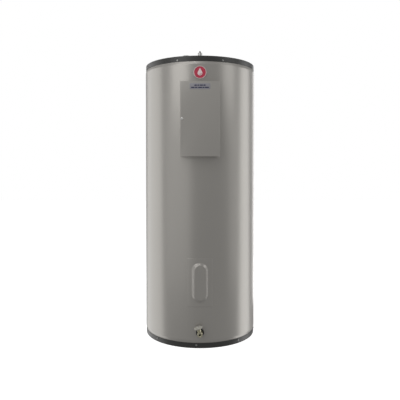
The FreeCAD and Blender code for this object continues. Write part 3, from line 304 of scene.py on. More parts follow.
class Finish:
    """A material's nodes, with the object's own coordinates ready to drive its textures."""

    def __init__(self, name, colour, roughness, metallic=0.0, **sockets):
        self.material = bpy.data.materials.new(name)
        self.material.use_nodes = True
        self.tree = self.material.node_tree
        self.colour = colour
        self.shader = self.tree.nodes["Principled BSDF"]
        self.shader.inputs["Base Color"].default_value = (*colour, 1)
        self.shader.inputs["Roughness"].default_value = roughness
        self.shader.inputs["Metallic"].default_value = metallic
        for socket, value in sockets.items():
            self.shader.inputs[socket.replace("_", " ")].default_value = value
        self.place = self.tree.nodes.new("ShaderNodeTexCoord").outputs["Object"]
        self.height = None

    def link(self, source, target):
        self.tree.links.new(source, target)

    def stretched(self, scale):
        """The coordinates scaled by a different amount along each axis."""
        node = self.tree.nodes.new("ShaderNodeMapping")
        node.inputs["Scale"].default_value = scale
        self.link(self.place, node.inputs["Vector"])
        return node.outputs["Vector"]

    def noise(self, scale, detail=3.0, roughness=0.5, place=None):
        node = self.tree.nodes.new("ShaderNodeTexNoise")
        node.inputs["Scale"].default_value = scale
        node.inputs["Detail"].default_value = detail
        node.inputs["Roughness"].default_value = roughness
        self.link(place or self.place, node.inputs["Vector"])
        return node.outputs["Fac"]

    def cells(self, scale, output="Distance"):
        node = self.tree.nodes.new("ShaderNodeTexVoronoi")
        node.inputs["Scale"].default_value = scale
        self.link(self.place, node.inputs["Vector"])
        return node.outputs[output]

    def ramp(self, value, low, high, out_low=0.0, out_high=1.0):
        node = self.tree.nodes.new("ShaderNodeMapRange")
        for socket, number in zip(("From Min", "From Max", "To Min", "To Max"),
                                  (low, high, out_low, out_high)):
            node.inputs[socket].default_value = number
        self.link(value, node.inputs["Value"])
        return node.outputs["Result"]

    def tint(self, factor, colour):
        """Mixes the base colour so far towards another, by a factor."""
        node = self.tree.nodes.new("ShaderNodeMix")
        node.data_type = "RGBA"
        target = self.shader.inputs["Base Color"]
        if target.is_linked:
            self.link(target.links[0].from_socket, node.inputs["A"])
        else:
            node.inputs["A"].default_value = target.default_value
        node.inputs["B"].default_value = (*colour, 1)
        self.link(factor, node.inputs["Factor"])
        self.link(node.outputs["Result"], target)
        return self

    def stain(self, value, low, high, amount, factor):
        """Darkens or lightens the base colour where a texture rises from low to high."""
        return self.tint(self.ramp(value, low, high, 0.0, amount), shade(self.colour, factor))

    def vary_roughness(self, value, low, high):
        self.link(self.ramp(value, 0.3, 0.7, low, high), self.shader.inputs["Roughness"])
        return self

    def bump(self, value, distance, strength=1.0):
        """Adds a layer of relief; distance is its height in metres."""
        node = self.tree.nodes.new("ShaderNodeBump")
        node.inputs["Strength"].default_value = strength
        node.inputs["Distance"].default_value = distance
        self.link(value, node.inputs["Height"])
        if self.height:
            self.link(self.height, node.inputs["Normal"])
        self.height = node.outputs["Normal"]
        self.link(self.height, self.shader.inputs["Normal"])
        return self


def shade(colour, factor):
    return tuple(min(1.0, part * factor) for part in colour)


def paint(name, colour, roughness=0.34, peel=0.00001, wear=0.04, flake=0.0):
    """Baked enamel: orange peel, slow drift of colour, and metal flake that gathers the light."""
    finish = Finish(name, colour, roughness, metallic=flake)
    finish.stain(finish.noise(2.5, 2), 0.3, 0.7, 0.6, 1 + wear)
    finish.stain(finish.noise(60, 5), 0.55, 0.8, 0.35, 1 - wear)
    finish.vary_roughness(finish.noise(5, 1), roughness - 0.01, roughness + 0.01)
    finish.bump(finish.noise(300, 1), peel, 0.4)
    finish.bump(finish.noise(4, 1), 0.0006, 0.2)
    return finish.material


def plated(name, colour, roughness=0.3, grain=500, depth=0.00002):
    """Machined or plated metal with fine tooling and small stains."""
    finish = Finish(name, colour, roughness, metallic=1.0)
    finish.stain(finish.noise(90, 5), 0.45, 0.75, 0.5, 0.72)
    finish.vary_roughness(finish.noise(160, 4), roughness - 0.08, roughness + 0.14)
    finish.bump(finish.noise(grain, 3, place=finish.stretched((1, 1, 9))), depth, 0.5)
    return finish.material


def galvanised(name, colour):
    """Zinc-coated sheet with its crystal spangle."""
    finish = Finish(name, colour, 0.42, metallic=0.9)
    spangle = finish.cells(140, "Color")
    finish.stain(spangle, 0.2, 0.8, 0.6, 0.78)
    finish.link(finish.ramp(spangle, 0.0, 1.0, 0.3, 0.55), finish.shader.inputs["Roughness"])
    finish.bump(finish.noise(300, 3), 0.00002, 0.4)
    return finish.material


def cast(name, colour, metallic=1.0, roughness=0.38, pit=0.00012):
    """Cast metal: sand-textured skin, darker in its hollows."""
    finish = Finish(name, colour, roughness, metallic=metallic)
    skin = finish.noise(380, 6, 0.65)
    finish.tint(finish.ramp(skin, 0.4, 0.65, 0.55, 0.0), shade(colour, 0.62))
    finish.vary_roughness(finish.noise(120, 4), roughness - 0.06, roughness + 0.16)
    finish.bump(skin, pit, 0.7)
    return finish.material


def moulded(name, colour, roughness=0.45, texture=0.00003):
    """Moulded plastic with a fine spark-eroded texture."""
    finish = Finish(name, colour, roughness)
    finish.stain(finish.noise(35, 4), 0.4, 0.75, 0.4, 0.86)
    finish.vary_roughness(finish.noise(220, 3), roughness - 0.06, roughness + 0.08)
    finish.bump(finish.noise(1400, 2), texture, 0.6)
    return finish.material


def rigid_foam(name, colour, bubble=260, depth=0.0005):
    """Cut or skinned foam with visible cells."""
    finish = Finish(name, colour, 0.9)
    pores = finish.cells(bubble)
    finish.tint(finish.ramp(pores, 0.1, 0.6, 0.6, 0.0), shade(colour, 0.7))
    finish.stain(finish.noise(12, 4), 0.45, 0.75, 0.5, 0.85)
    finish.bump(pores, depth, 0.6)
    return finish.material


def mill_steel(name, colour):
    """Hot-rolled plate: blue-grey scale with brown patches."""
    finish = Finish(name, colour, 0.55, metallic=0.75)
    finish.tint(finish.ramp(finish.noise(9, 6, 0.6), 0.45, 0.7, 0.0, 0.8), (0.13, 0.075, 0.045))
    finish.stain(finish.noise(70, 5), 0.5, 0.75, 0.6, 0.55)
    finish.vary_roughness(finish.noise(40, 4), 0.42, 0.7)
    finish.bump(finish.noise(240, 5), 0.0001, 0.5)
    return finish.material


def rubber(name, colour):
    finish = Finish(name, colour, 0.62)
    finish.stain(finish.noise(80, 4), 0.5, 0.8, 0.5, 1.8)
    finish.bump(finish.noise(900, 3), 0.00004, 0.6)
    return finish.material


def glossy(name, colour, roughness=0.16, coat=0.6):
    """Lacquered or insulated plastic with a clear skin."""
    finish = Finish(name, colour, roughness, Coat_Weight=coat, Coat_Roughness=0.08)
    finish.stain(finish.noise(50, 3), 0.4, 0.75, 0.35, 0.8)
    finish.vary_roughness(finish.noise(150, 3), roughness, roughness + 0.08)
    finish.bump(finish.noise(700, 2), 0.00001, 0.5)
    return finish.material


JACKET_GREY = (0.385, 0.370, 0.345)
PAN_GREY = (0.030, 0.030, 0.028)

SLOT_FINISHES = {
    "jacket_paint": lambda n: paint(n, JACKET_GREY, 0.30, flake=0.5),
    "pan_paint": lambda n: paint(n, PAN_GREY, 0.36, wear=0.25),
    "zinc_fastener": lambda n: plated(n, (0.80, 0.80, 0.78), 0.24),
    "box_steel": lambda n: paint(n, shade(JACKET_GREY, 0.96), 0.30, flake=0.5),
    "galvanised": lambda n: galvanised(n, (0.62, 0.63, 0.63)),
    "label_film": lambda n: glossy(n, (0.300, 0.295, 0.325), 0.3, 0.2),
    "badge_silver": lambda n: glossy(n, (0.72, 0.64, 0.63), 0.3, 0.3),
    "badge_red": lambda n: glossy(n, (0.50, 0.030, 0.070), 0.3),
    "tank_steel": lambda n: mill_steel(n, (0.13, 0.135, 0.15)),
    "weld_steel": lambda n: plated(n, (0.42, 0.41, 0.40), 0.4),
    "urethane_foam": lambda n: rigid_foam(n, (0.72, 0.62, 0.36)),
    "white_foam": lambda n: rigid_foam(n, (0.80, 0.80, 0.78), 320, 0.0003),
    "pipe_steel": lambda n: plated(n, (0.56, 0.56, 0.55), 0.34),
    "natural_plastic": lambda n: moulded(n, (0.70, 0.70, 0.66), 0.4),
    "cold_blue": lambda n: glossy(n, (0.015, 0.07, 0.38), 0.3, 0.2),
    "hot_red": lambda n: glossy(n, (0.45, 0.015, 0.012), 0.3, 0.2),
    "magnesium": lambda n: cast(n, (0.55, 0.55, 0.56), 0.9, 0.5),
    "valve_brass": lambda n: cast(n, (0.60, 0.44, 0.22), roughness=0.3),
    "valve_steel": lambda n: plated(n, (0.50, 0.50, 0.49), 0.3),
    "spring_steel": lambda n: plated(n, (0.30, 0.30, 0.32), 0.35),
    "element_sheath": lambda n: plated(n, (0.40, 0.37, 0.35), 0.42),
    "gasket_rubber": lambda n: rubber(n, (0.02, 0.02, 0.02)),
    "black_phenolic": lambda n: moulded(n, (0.022, 0.022, 0.024), 0.36),
    "dial_white": lambda n: moulded(n, (0.72, 0.72, 0.70), 0.4),
    "reset_red": lambda n: glossy(n, (0.55, 0.012, 0.012), 0.25, 0.3),
    "ground_green": lambda n: plated(n, (0.05, 0.34, 0.10), 0.3),
    "wire_black": lambda n: glossy(n, (0.018, 0.018, 0.018), 0.35, 0.1),
    "wire_red": lambda n: glossy(n, (0.42, 0.014, 0.012), 0.35, 0.1),
    "drain_brass": lambda n: cast(n, (0.56, 0.53, 0.39), roughness=0.34),
    "knob_paint": lambda n: cast(n, (0.50, 0.485, 0.43), 0.0, 0.42, 0.0001),
    "black_plastic": lambda n: moulded(n, (0.012, 0.012, 0.012), 0.5),
}
finishes = {slot: make(slot + "_finish") for slot, make in SLOT_FINISHES.items()}
dull_zinc = plated("dull_zinc", (0.40, 0.40, 0.39), 0.42)
dark_brass = cast("dark_brass", (0.10, 0.09, 0.075), roughness=0.4)
# The door's paint is the jacket's paint made 10 % lighter: painted light, standing for the extra light
# that the flat door catches.
lit_door_paint_copy = paint("lit_door_paint_copy", shade(JACKET_GREY, 1.10), 0.30, flake=0.5)
navy_ink = glossy("navy_ink", (0.02, 0.022, 0.07), 0.4, 0.0)
pale_ink = glossy("pale_ink", (0.80, 0.66, 0.66), 0.3, 0.3)


SLOT_OF = {part["node"]: part["material_slot"] for part in record["subparts"]}


def stand_in(name, parts, node, body="root", smooth_angle=32):
    """A piece that takes over from one CAD node, in that node's own finish."""
    slot = SLOT_OF[node]
    return piece(name, parts, finishes[slot], body, (node,), smooth_angle)


def dress_frame():
    """Gives every CAD node its finish, and softens the edges of those that stay in view."""
    for part in record["subparts"]:
        thing = nodes[part["node"]]
        for holder in thing.material_slots:
            holder.material = finishes[part["material_slot"]]
        if not thing.material_slots:
            thing.data.materials.append(finishes[part["material_slot"]])
        weld = thing.modifiers.new("weld", "WELD")
        weld.merge_threshold = 0.000005
        edge = thing.modifiers.new("soft_edges", "BEVEL")
        edge.limit_method, edge.angle_limit = "ANGLE", math.radians(35)
        edge.width, edge.segments = 0.35 * MM, 2


# ---- jacket and pans ----

jacket_low, jacket_high = span("outer_jacket")
JACKET_RADIUS = jacket_high.x
pan_low, pan_high = span("base_pan")
cover_low, cover_high = span("top_cover")
PAN_RADIUS = pan_high.x
JOGGLE_RADIUS = PAN_RADIUS - 1.4 * MM
JOGGLE_HEIGHT = 15 * MM
JACKET_STEEL = 1.0 * MM
WIRING_OPENING = (80 * MM, 1020 * MM, 1340 * MM)
ACCESS_OPENING = (52 * MM, 228 * MM, 454 * MM)
DRAIN_HOLE = 19.2 * MM
DRAIN_HEIGHT = centre("drain_trim_ring").z


def jacket_outline():
    return rounded([
        (JOGGLE_RADIUS, jacket_low.z),
        (JOGGLE_RADIUS, pan_high.z),
        (JACKET_RADIUS, pan_high.z + JOGGLE_HEIGHT),
        (JACKET_RADIUS, cover_low.z - JOGGLE_HEIGHT),
        (JOGGLE_RADIUS, cover_low.z),
        (JOGGLE_RADIUS, jacket_high.z),
    ], [4 * MM, 16 * MM, 16 * MM, 4 * MM], 8)


def jacket_mesh():
    """The sheet as an inner and an outer skin joined at its ends, with its openings cut through."""
    outside = jacket_outline()
    inside = [(r - JACKET_STEEL, z) for r, z in reversed(outside)]
    shell = tube_of(outside + inside, 288)
    ahead, behind = -0.35, -0.2  # the cutters go through the front of the sheet only
    cutters = [box((-half, ahead, low), (half, behind, high))
               for half, low, high in (WIRING_OPENING, ACCESS_OPENING)]
    hole = moved(drum(DRAIN_HOLE, 0.25, -ahead), FRONT)
    cutters.append(moved(hole, at(z=DRAIN_HEIGHT)))
    return carve(shell, *cutters)


def build_jacket():
    stand_in("jacket_sheet", [jacket_mesh()], "outer_jacket", smooth_angle=28)
    piece("jacket_seam", [seam_mesh()], finishes["jacket_paint"])


def seam_mesh():
    """The folded lock seam down the back of the jacket."""
    half_width, proud, sunk = 7 * MM, 0.7 * MM, -0.3 * MM
    section = rounded([(-half_width, sunk), (-half_width, proud), (half_width, proud),
                       (half_width, sunk)], 0.8 * MM, 3)
    mesh = bmesh.new()
    rings = []
    for radius, height in jacket_outline():
        ring = []
        for across, out in section:
            angle = math.radians(90) + across / radius
            reach = radius + out
            ring.append(mesh.verts.new((reach * math.cos(angle), reach * math.sin(angle), height)))
        rings.append(ring)
    for lower, upper in zip(rings, rings[1:]):
        stitch(mesh, lower, upper)
    mesh.faces.new(rings[0])
    mesh.faces.new(rings[-1])
    bmesh.ops.recalc_face_normals(mesh, faces=mesh.faces)
    return mesh


def pan_outline(steel, flange):
    """A pan lying face down at z = 0: two pressed beads, a rolled corner and the flange."""
    beads = mm([(0, 0), (118, 0), (122, 0.9), (130, 0.9), (134, 0), (262, 0), (268, 1.1), (280, 1.1),
                (286, 0)])
    outside = rounded(beads + [(PAN_RADIUS, 0.0), (PAN_RADIUS, flange)], [4 * MM] * 8 + [3.2 * MM], 4)
    wall = PAN_RADIUS - steel
    return outside + rounded([(wall, flange), (wall, steel), (0, steel)], 2 * MM, 3)


def build_pans():
    steel, flange = 1.2 * MM, pan_high.z - pan_low.z
    stand_in("base_pan_pressed", [lathe(pan_outline(steel, flange), 288)], "base_pan")
    cover = moved(lathe(pan_outline(steel, flange), 288), at(z=cover_high.z) @ rotate(180, "X"))
    hub = centre("conduit_hub")
    hole = moved(drum(14.2 * MM, -0.03, 0.01), at(hub.x, hub.y, cover_high.z))
    stand_in("top_cover_pressed", [carve(cover, hole)], "top_cover")


def washer_screw():
    """A hexagon washer-head screw standing on z = 0, with a cross recess."""
    head = slab_up(hexagon_outline(7.8 * MM), 0.8 * MM, 3.4 * MM, 0.5 * MM)
    washer = turned(mm([(0, 0), (4.7, 0), (4.5, 0.9), (0, 1.1)]), 0.3 * MM, 32)
    long, thin, floor, above = 2.6 * MM, 0.45 * MM, 2.2 * MM, 4 * MM
    arms = [box((-x, -y, floor), (x, y, above)) for x, y in ((long, thin), (thin, long))]
    return [carve(head, *arms), washer]


def screw_ring(phase, height, count=8):
    """Places round a pan's flange where its screws sit, each looking outward."""
    return [on_cylinder(math.radians(phase + k * 360 / count), PAN_RADIUS, height) for k in range(count)]


def build_pan_screws():
    cover_phase, cover_row = 22.5, 1484.5 * MM
    base_phase, base_row = -3.5, 17 * MM
    places = screw_ring(cover_phase, cover_row) + screw_ring(base_phase, base_row)
    parts = []
    for index, place in enumerate(places):
        spin = Matrix.Rotation(index * 1.7, 4, "Z")
        parts += [moved(part, place @ spin) for part in washer_screw()]
    piece("flange_screws", parts, dull_zinc, replaces=("pan_screws",))


# ---- door, label and badge ----


def build_door():
    """The door as a folded pan, with rolled edges, hinge ears and holes for its screw and pins."""
    low, high = span("control_door")
    steel, depth, ear, past = 1.2 * MM, 12 * MM, 14 * MM, 0.01
    rim = low.y + depth
    outer = box((low.x, low.y, low.z), (high.x, rim, high.z), 1.0 * MM, 3)
    hollow = box((low.x + steel, low.y + steel, low.z + steel),
                 (high.x + past, rim + past, high.z - steel))
    ears = [box((high.x - ear, rim - MM, bottom), (high.x, high.y, bottom + steel), 0.3 * MM)
            for bottom in (low.z, high.z - steel)]
    screw, hinge = centre("door_screw"), centre("door_hinge_pins")
    holes = [moved(drum(2.56 * MM, -0.02, 0.02, 32), at(screw.x, low.y, screw.z) @ FRONT)]
    holes += [moved(drum(2.07 * MM, -0.01, 0.01, 32), at(hinge.x, hinge.y, z)) for z in (low.z, high.z)]
    # The door takes the lighter copy of the jacket paint, which is painted light.
    piece("door_panel", [carve(carve(outer, hollow), *holes)] + ears, lit_door_paint_copy, "door",
          ("control_door",), 28)


def build_label():
    """A film with two rows of plain bars, which stand for its wording."""
    low, high = span("door_label")
    film = rounded_rectangle(low.x, high.x, low.z, high.z, 3 * MM)
    plate = moved(slab(film, 0.35 * MM, 0.12 * MM), at(y=low.y + 0.05 * MM))
    stand_in("label_plate", [plate], "door_label", "door")
    gap, tall, corner = 2.6, 2.9 * MM, 1.1 * MM
    bars = []
    for middle, widths in ((1348.6 * MM, (13, 9, 16, 11)), (1337.4 * MM, (17, 12, 21, 9, 20))):
        start = -(sum(widths) + gap * (len(widths) - 1)) / 2
        for width in widths:
            outline = rounded_rectangle(start * MM, (start + width) * MM, middle - tall, middle + tall,
                                        corner)
            bars.append(moved(slab(outline, 0.25 * MM, 0.06 * MM), at(y=low.y - 0.12 * MM)))
            start += width + gap
    piece("label_bars", bars, navy_ink, "door")


def rounded_rectangle(left, right, bottom, top, radius, steps=5):
    points = []
    for cx, cz, first in ((right - radius, bottom + radius, -90), (right - radius, top - radius, 0),
                          (left + radius, top - radius, 90), (left + radius, bottom + radius, 180)):
        for step in range(steps + 1):
            angle = math.radians(first + 90 * step / steps)
            points.append((cx + radius * math.cos(angle), cz + radius * math.sin(angle)))
    return points


def build_badge():
    """A domed red disc in a polished rim, with a plain raised water drop."""
    low, high = span("badge_bezel")
    back, middle = high.y, centre("badge_bezel").z
    radius, depth = (high.x - low.x) / 2, back - low.y
    to_front = at(0, back, middle) @ FRONT
    throat = radius - 3.2 * MM
    rim = turned([(radius - 3 * MM, 0), (radius - 0.2 * MM, 0), (radius, depth * 0.5),
                  (radius - 1.0 * MM, depth), (radius - 2.4 * MM, depth), (throat, depth - 1.2 * MM),
                  (throat, 0)], 0.5 * MM, 128)
    stand_in("badge_rim", [moved(rim, to_front)], "badge_bezel")
    face, inner = depth - 1.1 * MM, radius - 3.1 * MM
    sweep, fall, steps = 1.45, 0.9 * MM, 12
    angles = [sweep * k / steps for k in range(1, steps + 1)]
    crown = [(inner * math.sin(a), face - fall * (1 - math.cos(a)) / (1 - math.cos(sweep)))
             for a in angles]
    disc = lathe([(0, face)] + crown + [(inner, 0)], 128)
    stand_in("badge_dome", [moved(disc, to_front)], "badge_disc")
    drop = slab(drop_outline(12.5 * MM), 0.9 * MM, 0.3 * MM)
    shine = slab(crescent_outline(8.2 * MM), 0.5 * MM, 0.1 * MM)
    front, foot = back - face, middle - 4 * MM
    piece("badge_drop", [moved(drop, at(0, front - 0.55 * MM, foot))], pale_ink)
    piece("badge_drop_shine", [moved(shine, at(0, front - 0.75 * MM, foot))], finishes["badge_red"])


def drop_outline(radius):
    """A round-bottomed water drop whose sides run tangent up to a point."""
    tip = radius * 2.1
    touch = int(math.degrees(math.asin(radius / tip)))
    return arc(radius, range(-180 - touch, touch + 1, 6)) + [(0, tip)]


def crescent_outline(radius):
    return arc(radius, range(-100, 1, 8)) + arc(radius * 0.70, range(-8, -97, -8))


# ---- lower access cover ----


def boss_rise(x, z):
    """How far up the pressed boss a point is, from 0 on the panel to 1 on its flat top.

    The boss is a stadium on end; x and z are measured from its middle.
    """
    outer, inner, straight = 44.5 * MM, 26.5 * MM, 60.5 * MM
    away = math.hypot(x, max(0.0, abs(z) - straight))
    rise = max(0.0, min(1.0, (outer - away) / (outer - inner)))
    return rise * rise * (3 - 2 * rise)


def build_access_cover():
    """The curved panel with its pressed stadium, as a fine grid given the sheet's thickness."""
    low, high = span("lower_access_cover")
    half, middle, face = high.x, (low.z + high.z) / 2, -low.y
    skin = JACKET_RADIUS + 1.5 * MM
    columns, lines = 96, 184
    edge_roll, edge_drop = 2.2 * MM, 0.9 * MM
    mesh = bmesh.new()
    grid = []
    for line in range(lines + 1):
        z = low.z + (high.z - low.z) * line / lines
        across = []
        for column in range(columns + 1):
            x = -half + 2 * half * column / columns
            base = math.sqrt(skin * skin - x * x)
            edge = min(half - abs(x), z - low.z, high.z - z)
            roll = max(0.0, 1 - edge / edge_roll)
            depth = base + (face - base) * boss_rise(x, z - middle) - roll * roll * edge_drop
            across.append(mesh.verts.new((x, -depth, z)))
        grid.append(across)
    for lower, upper in zip(grid, grid[1:]):
        for k in range(columns):
            mesh.faces.new((lower[k], lower[k + 1], upper[k + 1], upper[k]))
    thicken(mesh, 1.1 * MM)
    foot, head = ACCESS_OPENING[1:]
    tabs = [box((-14 * MM, -0.3085, z), (14 * MM, -0.296, z + 1.2 * MM), 0.4 * MM)
            for z in (head - 1.8 * MM, foot + 0.6 * MM)]
    stand_in("access_cover_panel", [mesh] + tabs, "lower_access_cover", "lower_cover", 40)


def thicken(mesh, thickness):
    """Gives an open sheet a back, offset away from its outward side, and closes its rim."""
    bmesh.ops.recalc_face_normals(mesh, faces=mesh.faces)
    mesh.normal_update()
    front = list(mesh.verts)
    outward = -1 if sum(v.normal.y for v in front) > 0 else 1
    back = {v: mesh.verts.new(v.co - v.normal * thickness * outward) for v in front}
    rims = [edge for edge in mesh.edges if len(edge.link_faces) == 1]
    for face in list(mesh.faces):
        mesh.faces.new([back[v] for v in reversed(face.verts)])
    for edge in rims:
        a, b = edge.verts
        mesh.faces.new((a, b, back[b], back[a]))
    bmesh.ops.recalc_face_normals(mesh, faces=mesh.faces)


# ---- drain valve ----

# The valve is drawn about the crossing of its barrel and its column, then leant sideways. Along
# the barrel, heights are measured forward.
DRAIN_PLACE = at(0, -332 * MM, DRAIN_HEIGHT) @ rotate(-15, "Y")
KNOB_RADIUS = 22 * MM
HOSE_THREAD = (11.7 * MM, 20.2 * MM)  # where it begins and ends along the barrel


def ball_arc(radius, start, finish, steps=10):
    """Points on a circle about the origin, from one height to another."""
    first, last = math.asin(start / radius), math.asin(finish / radius)
    angles = [first + (last - first) * k / steps for k in range(steps + 1)]
    return [(radius * math.cos(a), radius * math.sin(a)) for a in angles]


def drain_barrel():
    """The bored barrel from the tank's spud to the hose thread."""
    bore, neck, crest, pitch = 5.5 * MM, 10.5 * MM, 13.3 * MM, 2.2 * MM
    start, tip = HOSE_THREAD
    outline = mm([(5.5, -77), (12.2, -77), (13, -76), (13, -60), (10, -59), (10, -11), (10.5, -9.6)])
    outline += ball_arc(13.5 * MM, -8.2 * MM, 8.2 * MM, 14)
    outline += [(neck + 0.1 * MM, 9.2 * MM), (neck, 10 * MM), (neck, start - 0.3 * MM),
                (crest - 1.0 * MM, start - 0.1 * MM)]
    outline += rows(crest, start, tip, pitch)
    outline += [(bore + 1.0 * MM, tip), (bore, tip - 0.8 * MM)]
    return tube_of(outline, 96, helix(neck + MM, start, tip, pitch, 0.75 * MM))


def build_drain_valve():
    along = DRAIN_PLACE @ FRONT
    room = drum(6.98 * MM, -5.6 * MM, 20 * MM, 96)  # where the washer moves
    barrel = carve(moved(drain_barrel(), along), moved(room, DRAIN_PLACE))
    tower = tube_of(rounded(mm([(7, 6), (11.6, 6), (8.3, 9.6), (8.3, 14.05), (7, 14.05)]),
                            [0.0, 2.5 * MM, 0.6 * MM]), 96)
    flats = nut(13.5 * MM, -20 * MM, -12 * MM, 9.5 * MM)
    stand_in("drain_valve_casting", [barrel, moved(flats, along), moved(tower, DRAIN_PLACE)],
             "drain_valve_body")
    bonnet = nut(9.5 * MM, 14.05 * MM, 22.05 * MM)
    gland = turned(mm([(0, 21.5), (6, 21.5), (6, 25), (4.4, 25), (3.8, 24.2), (0, 24.2)]), 0.5 * MM)
    spindle = turned(mm([(0, 0.9), (3.2, 0.9), (3.2, 37.5), (0, 37.5)]), 0.5 * MM, 48)
    pad = turned(mm([(0, -1.7), (6.6, -1.7), (6.6, 0.9), (0, 0.9)]), 0.7 * MM)
    head = turned(mm([(0, 38.1), (5, 38.1), (4.9, 39.7), (2.6, 40.5), (0, 40.5)]), 0.5 * MM)
    slot = box((-6 * MM, -0.6 * MM, 39.4 * MM), (6 * MM, 0.6 * MM, 42 * MM))
    for name, parts, node, body, smooth_angle in (
            ("drain_bonnet_nut", [bonnet, gland], "drain_bonnet", "root", 32),
            ("drain_spindle", [spindle], "drain_stem", "drain_stem", 32),
            ("drain_seat_pad", [pad], "drain_washer", "drain_stem", 32),
            ("drain_knob_wheel", [knob_wheel()], "drain_knob", "drain_knob", 50),
            ("drain_knob_bolt", [carve(head, slot)], "drain_knob_screw", "drain_knob", 32)):
        stand_in(name, [moved(part, DRAIN_PLACE) for part in parts], node, body, smooth_angle)


def build_drain_sleeve():
    """The dark ring round the valve: a sleeve through the jacket with a flange in front of it. Its dark
    colour is painted shade, standing for the shadow inside the recess round the outlet.
    """
    low, high = span("drain_trim_ring")
    bore, hole, flange, deep = 14.2 * MM, 19.0 * MM, (high.x - low.x) / 2, high.y - low.y
    sheet = deep - 7.7 * MM
    outline = rounded([(bore, 0), (hole, 0), (hole, sheet), (flange, sheet), (flange, deep - 1.2 * MM),
                       (flange - 2.2 * MM, deep), (bore + 1.4 * MM, deep), (bore, deep - MM)],
                      [0.5 * MM, 0.2 * MM, 0.5 * MM, 1.2 * MM, 1.2 * MM, 0.6 * MM])
    stand_in("drain_sleeve", [moved(tube_of(outline, 128), at(0, high.y, DRAIN_HEIGHT) @ FRONT)],
             "drain_trim_ring")


def knob_wheel():
    """A cast wheel with eight scallops in its rim, a dished face and a raised hub."""
    scallop, reach, count, hub = 5 * MM, KNOB_RADIUS + 2.6 * MM, 8, 11 * MM
    outline = rounded(mm([(3.25, 26), (8, 26), (9.2, 28), (19, 27.4), (22, 28.4), (22, 35.6),
                          (19, 36.5), (10.2, 34.6), (8, 38), (3.25, 38)]),
                      [r * MM for r in (1.2, 1.2, 1.2, 2.4, 2.4, 1.4, 1.4, 1.2)], 6)

    def swell(angle, radius, height):
        away = (angle + math.pi / count) % (2 * math.pi / count) - math.pi / count
        across = reach * math.sin(away)
        edge = KNOB_RADIUS
        if abs(across) < scallop:
            edge = min(edge, reach * math.cos(away) - math.sqrt(scallop * scallop - across * across))
        depth = max(0.0, (radius - hub) / (KNOB_RADIUS - hub))
        return 1 - (1 - edge / KNOB_RADIUS) * depth
    return tube_of(outline, 288, swell)


# ---- fittings on the top ----


PIPE_RADIUS = 13.34 * MM  # 3/4 in pipe
SHOULDER = 1508 * MM  # where the hexagons of the anode and the relief valve begin
VALVE_SEAT = 1528 * MM
VALVE_CHAMBER = 10 * MM  # radius of the room for the relief valve's spring
LEVER_PIVOT = 1597 * MM


def build_nipples():
    """Pipe nipples, each threaded at its top and necked where it passes through the cover."""
    bore, wall, neck, pitch = 10.4 * MM, PIPE_RADIUS, 12.6 * MM, 1.814 * MM
    for name, node in (("cold_inlet_pipe", "cold_inlet_nipple"),
                       ("hot_outlet_pipe", "hot_outlet_nipple")):
        low, high = span(node)
        start = high.z - 20 * MM
        outline = [(bore, low.z), (wall, low.z), (wall, 1504 * MM), (neck, 1504.4 * MM),
                   (neck, 1509.6 * MM), (wall, 1510 * MM)]
        outline += rows(wall, start, high.z, pitch)
        outline += [(bore + 0.7 * MM, high.z), (bore, high.z - 0.7 * MM)]
        pipe = tube_of(outline, 96, helix(wall - MM / 2, start, high.z, pitch, 0.8 * MM))
        stand_in(name, [moved(pipe, at(centre(node).x))], node)


def build_port_rings():
    bore = 13.4 * MM
    for name, node in (("cold_port_ring", "cold_inlet_ring"), ("hot_port_ring", "hot_outlet_ring")):
        low, high = span(node)
        edge = (high.x - low.x) / 2
        outline = rounded([(bore, low.z), (edge, low.z), (edge, low.z + 1.7 * MM),
                           (edge - 3 * MM, high.z - 1.2 * MM), (bore + 3 * MM, high.z),
                           (bore, high.z)], [0.3 * MM, 0.8 * MM, 2 * MM, 1.0 * MM])
        stand_in(name, [moved(tube_of(outline, 128), at(centre(node).x))], node)


def build_anode_plug():
    low, high = span("anode_head")
    middle = centre("anode_head")
    end = SHOULDER + MM
    shank = lathe([(0, low.z), (PIPE_RADIUS, low.z), (PIPE_RADIUS, end), (0, end)], 96)
    recess = drum(6.5 * MM, high.z - 1.2 * MM, high.z + MM)
    head = carve(nut((high.x - low.x) / 2, SHOULDER, high.z), recess)
    place = at(middle.x, middle.y)
    stand_in("anode_plug", [moved(shank, place), moved(head, place)], "anode_head")


def build_conduit_bushing():
    low, high = span("conduit_hub")
    middle = centre("conduit_hub")
    bore, sleeve, edge, seat = 14.1 * MM, 16.2 * MM, (high.x - low.x) / 2, 1505.05 * MM
    outline = [(bore, low.z), (sleeve, low.z), (sleeve, seat), (edge - 0.3 * MM, seat),
               (edge, seat + 0.3 * MM), (edge, seat + 1.7 * MM), (edge - 1.2 * MM, high.z - 0.2 * MM),
               (edge - 2 * MM, high.z), (bore + 0.6 * MM, high.z), (bore, high.z - 0.6 * MM)]
    stand_in("conduit_bushing", [moved(tube_of(outline, 128), at(middle.x, middle.y))], "conduit_hub")


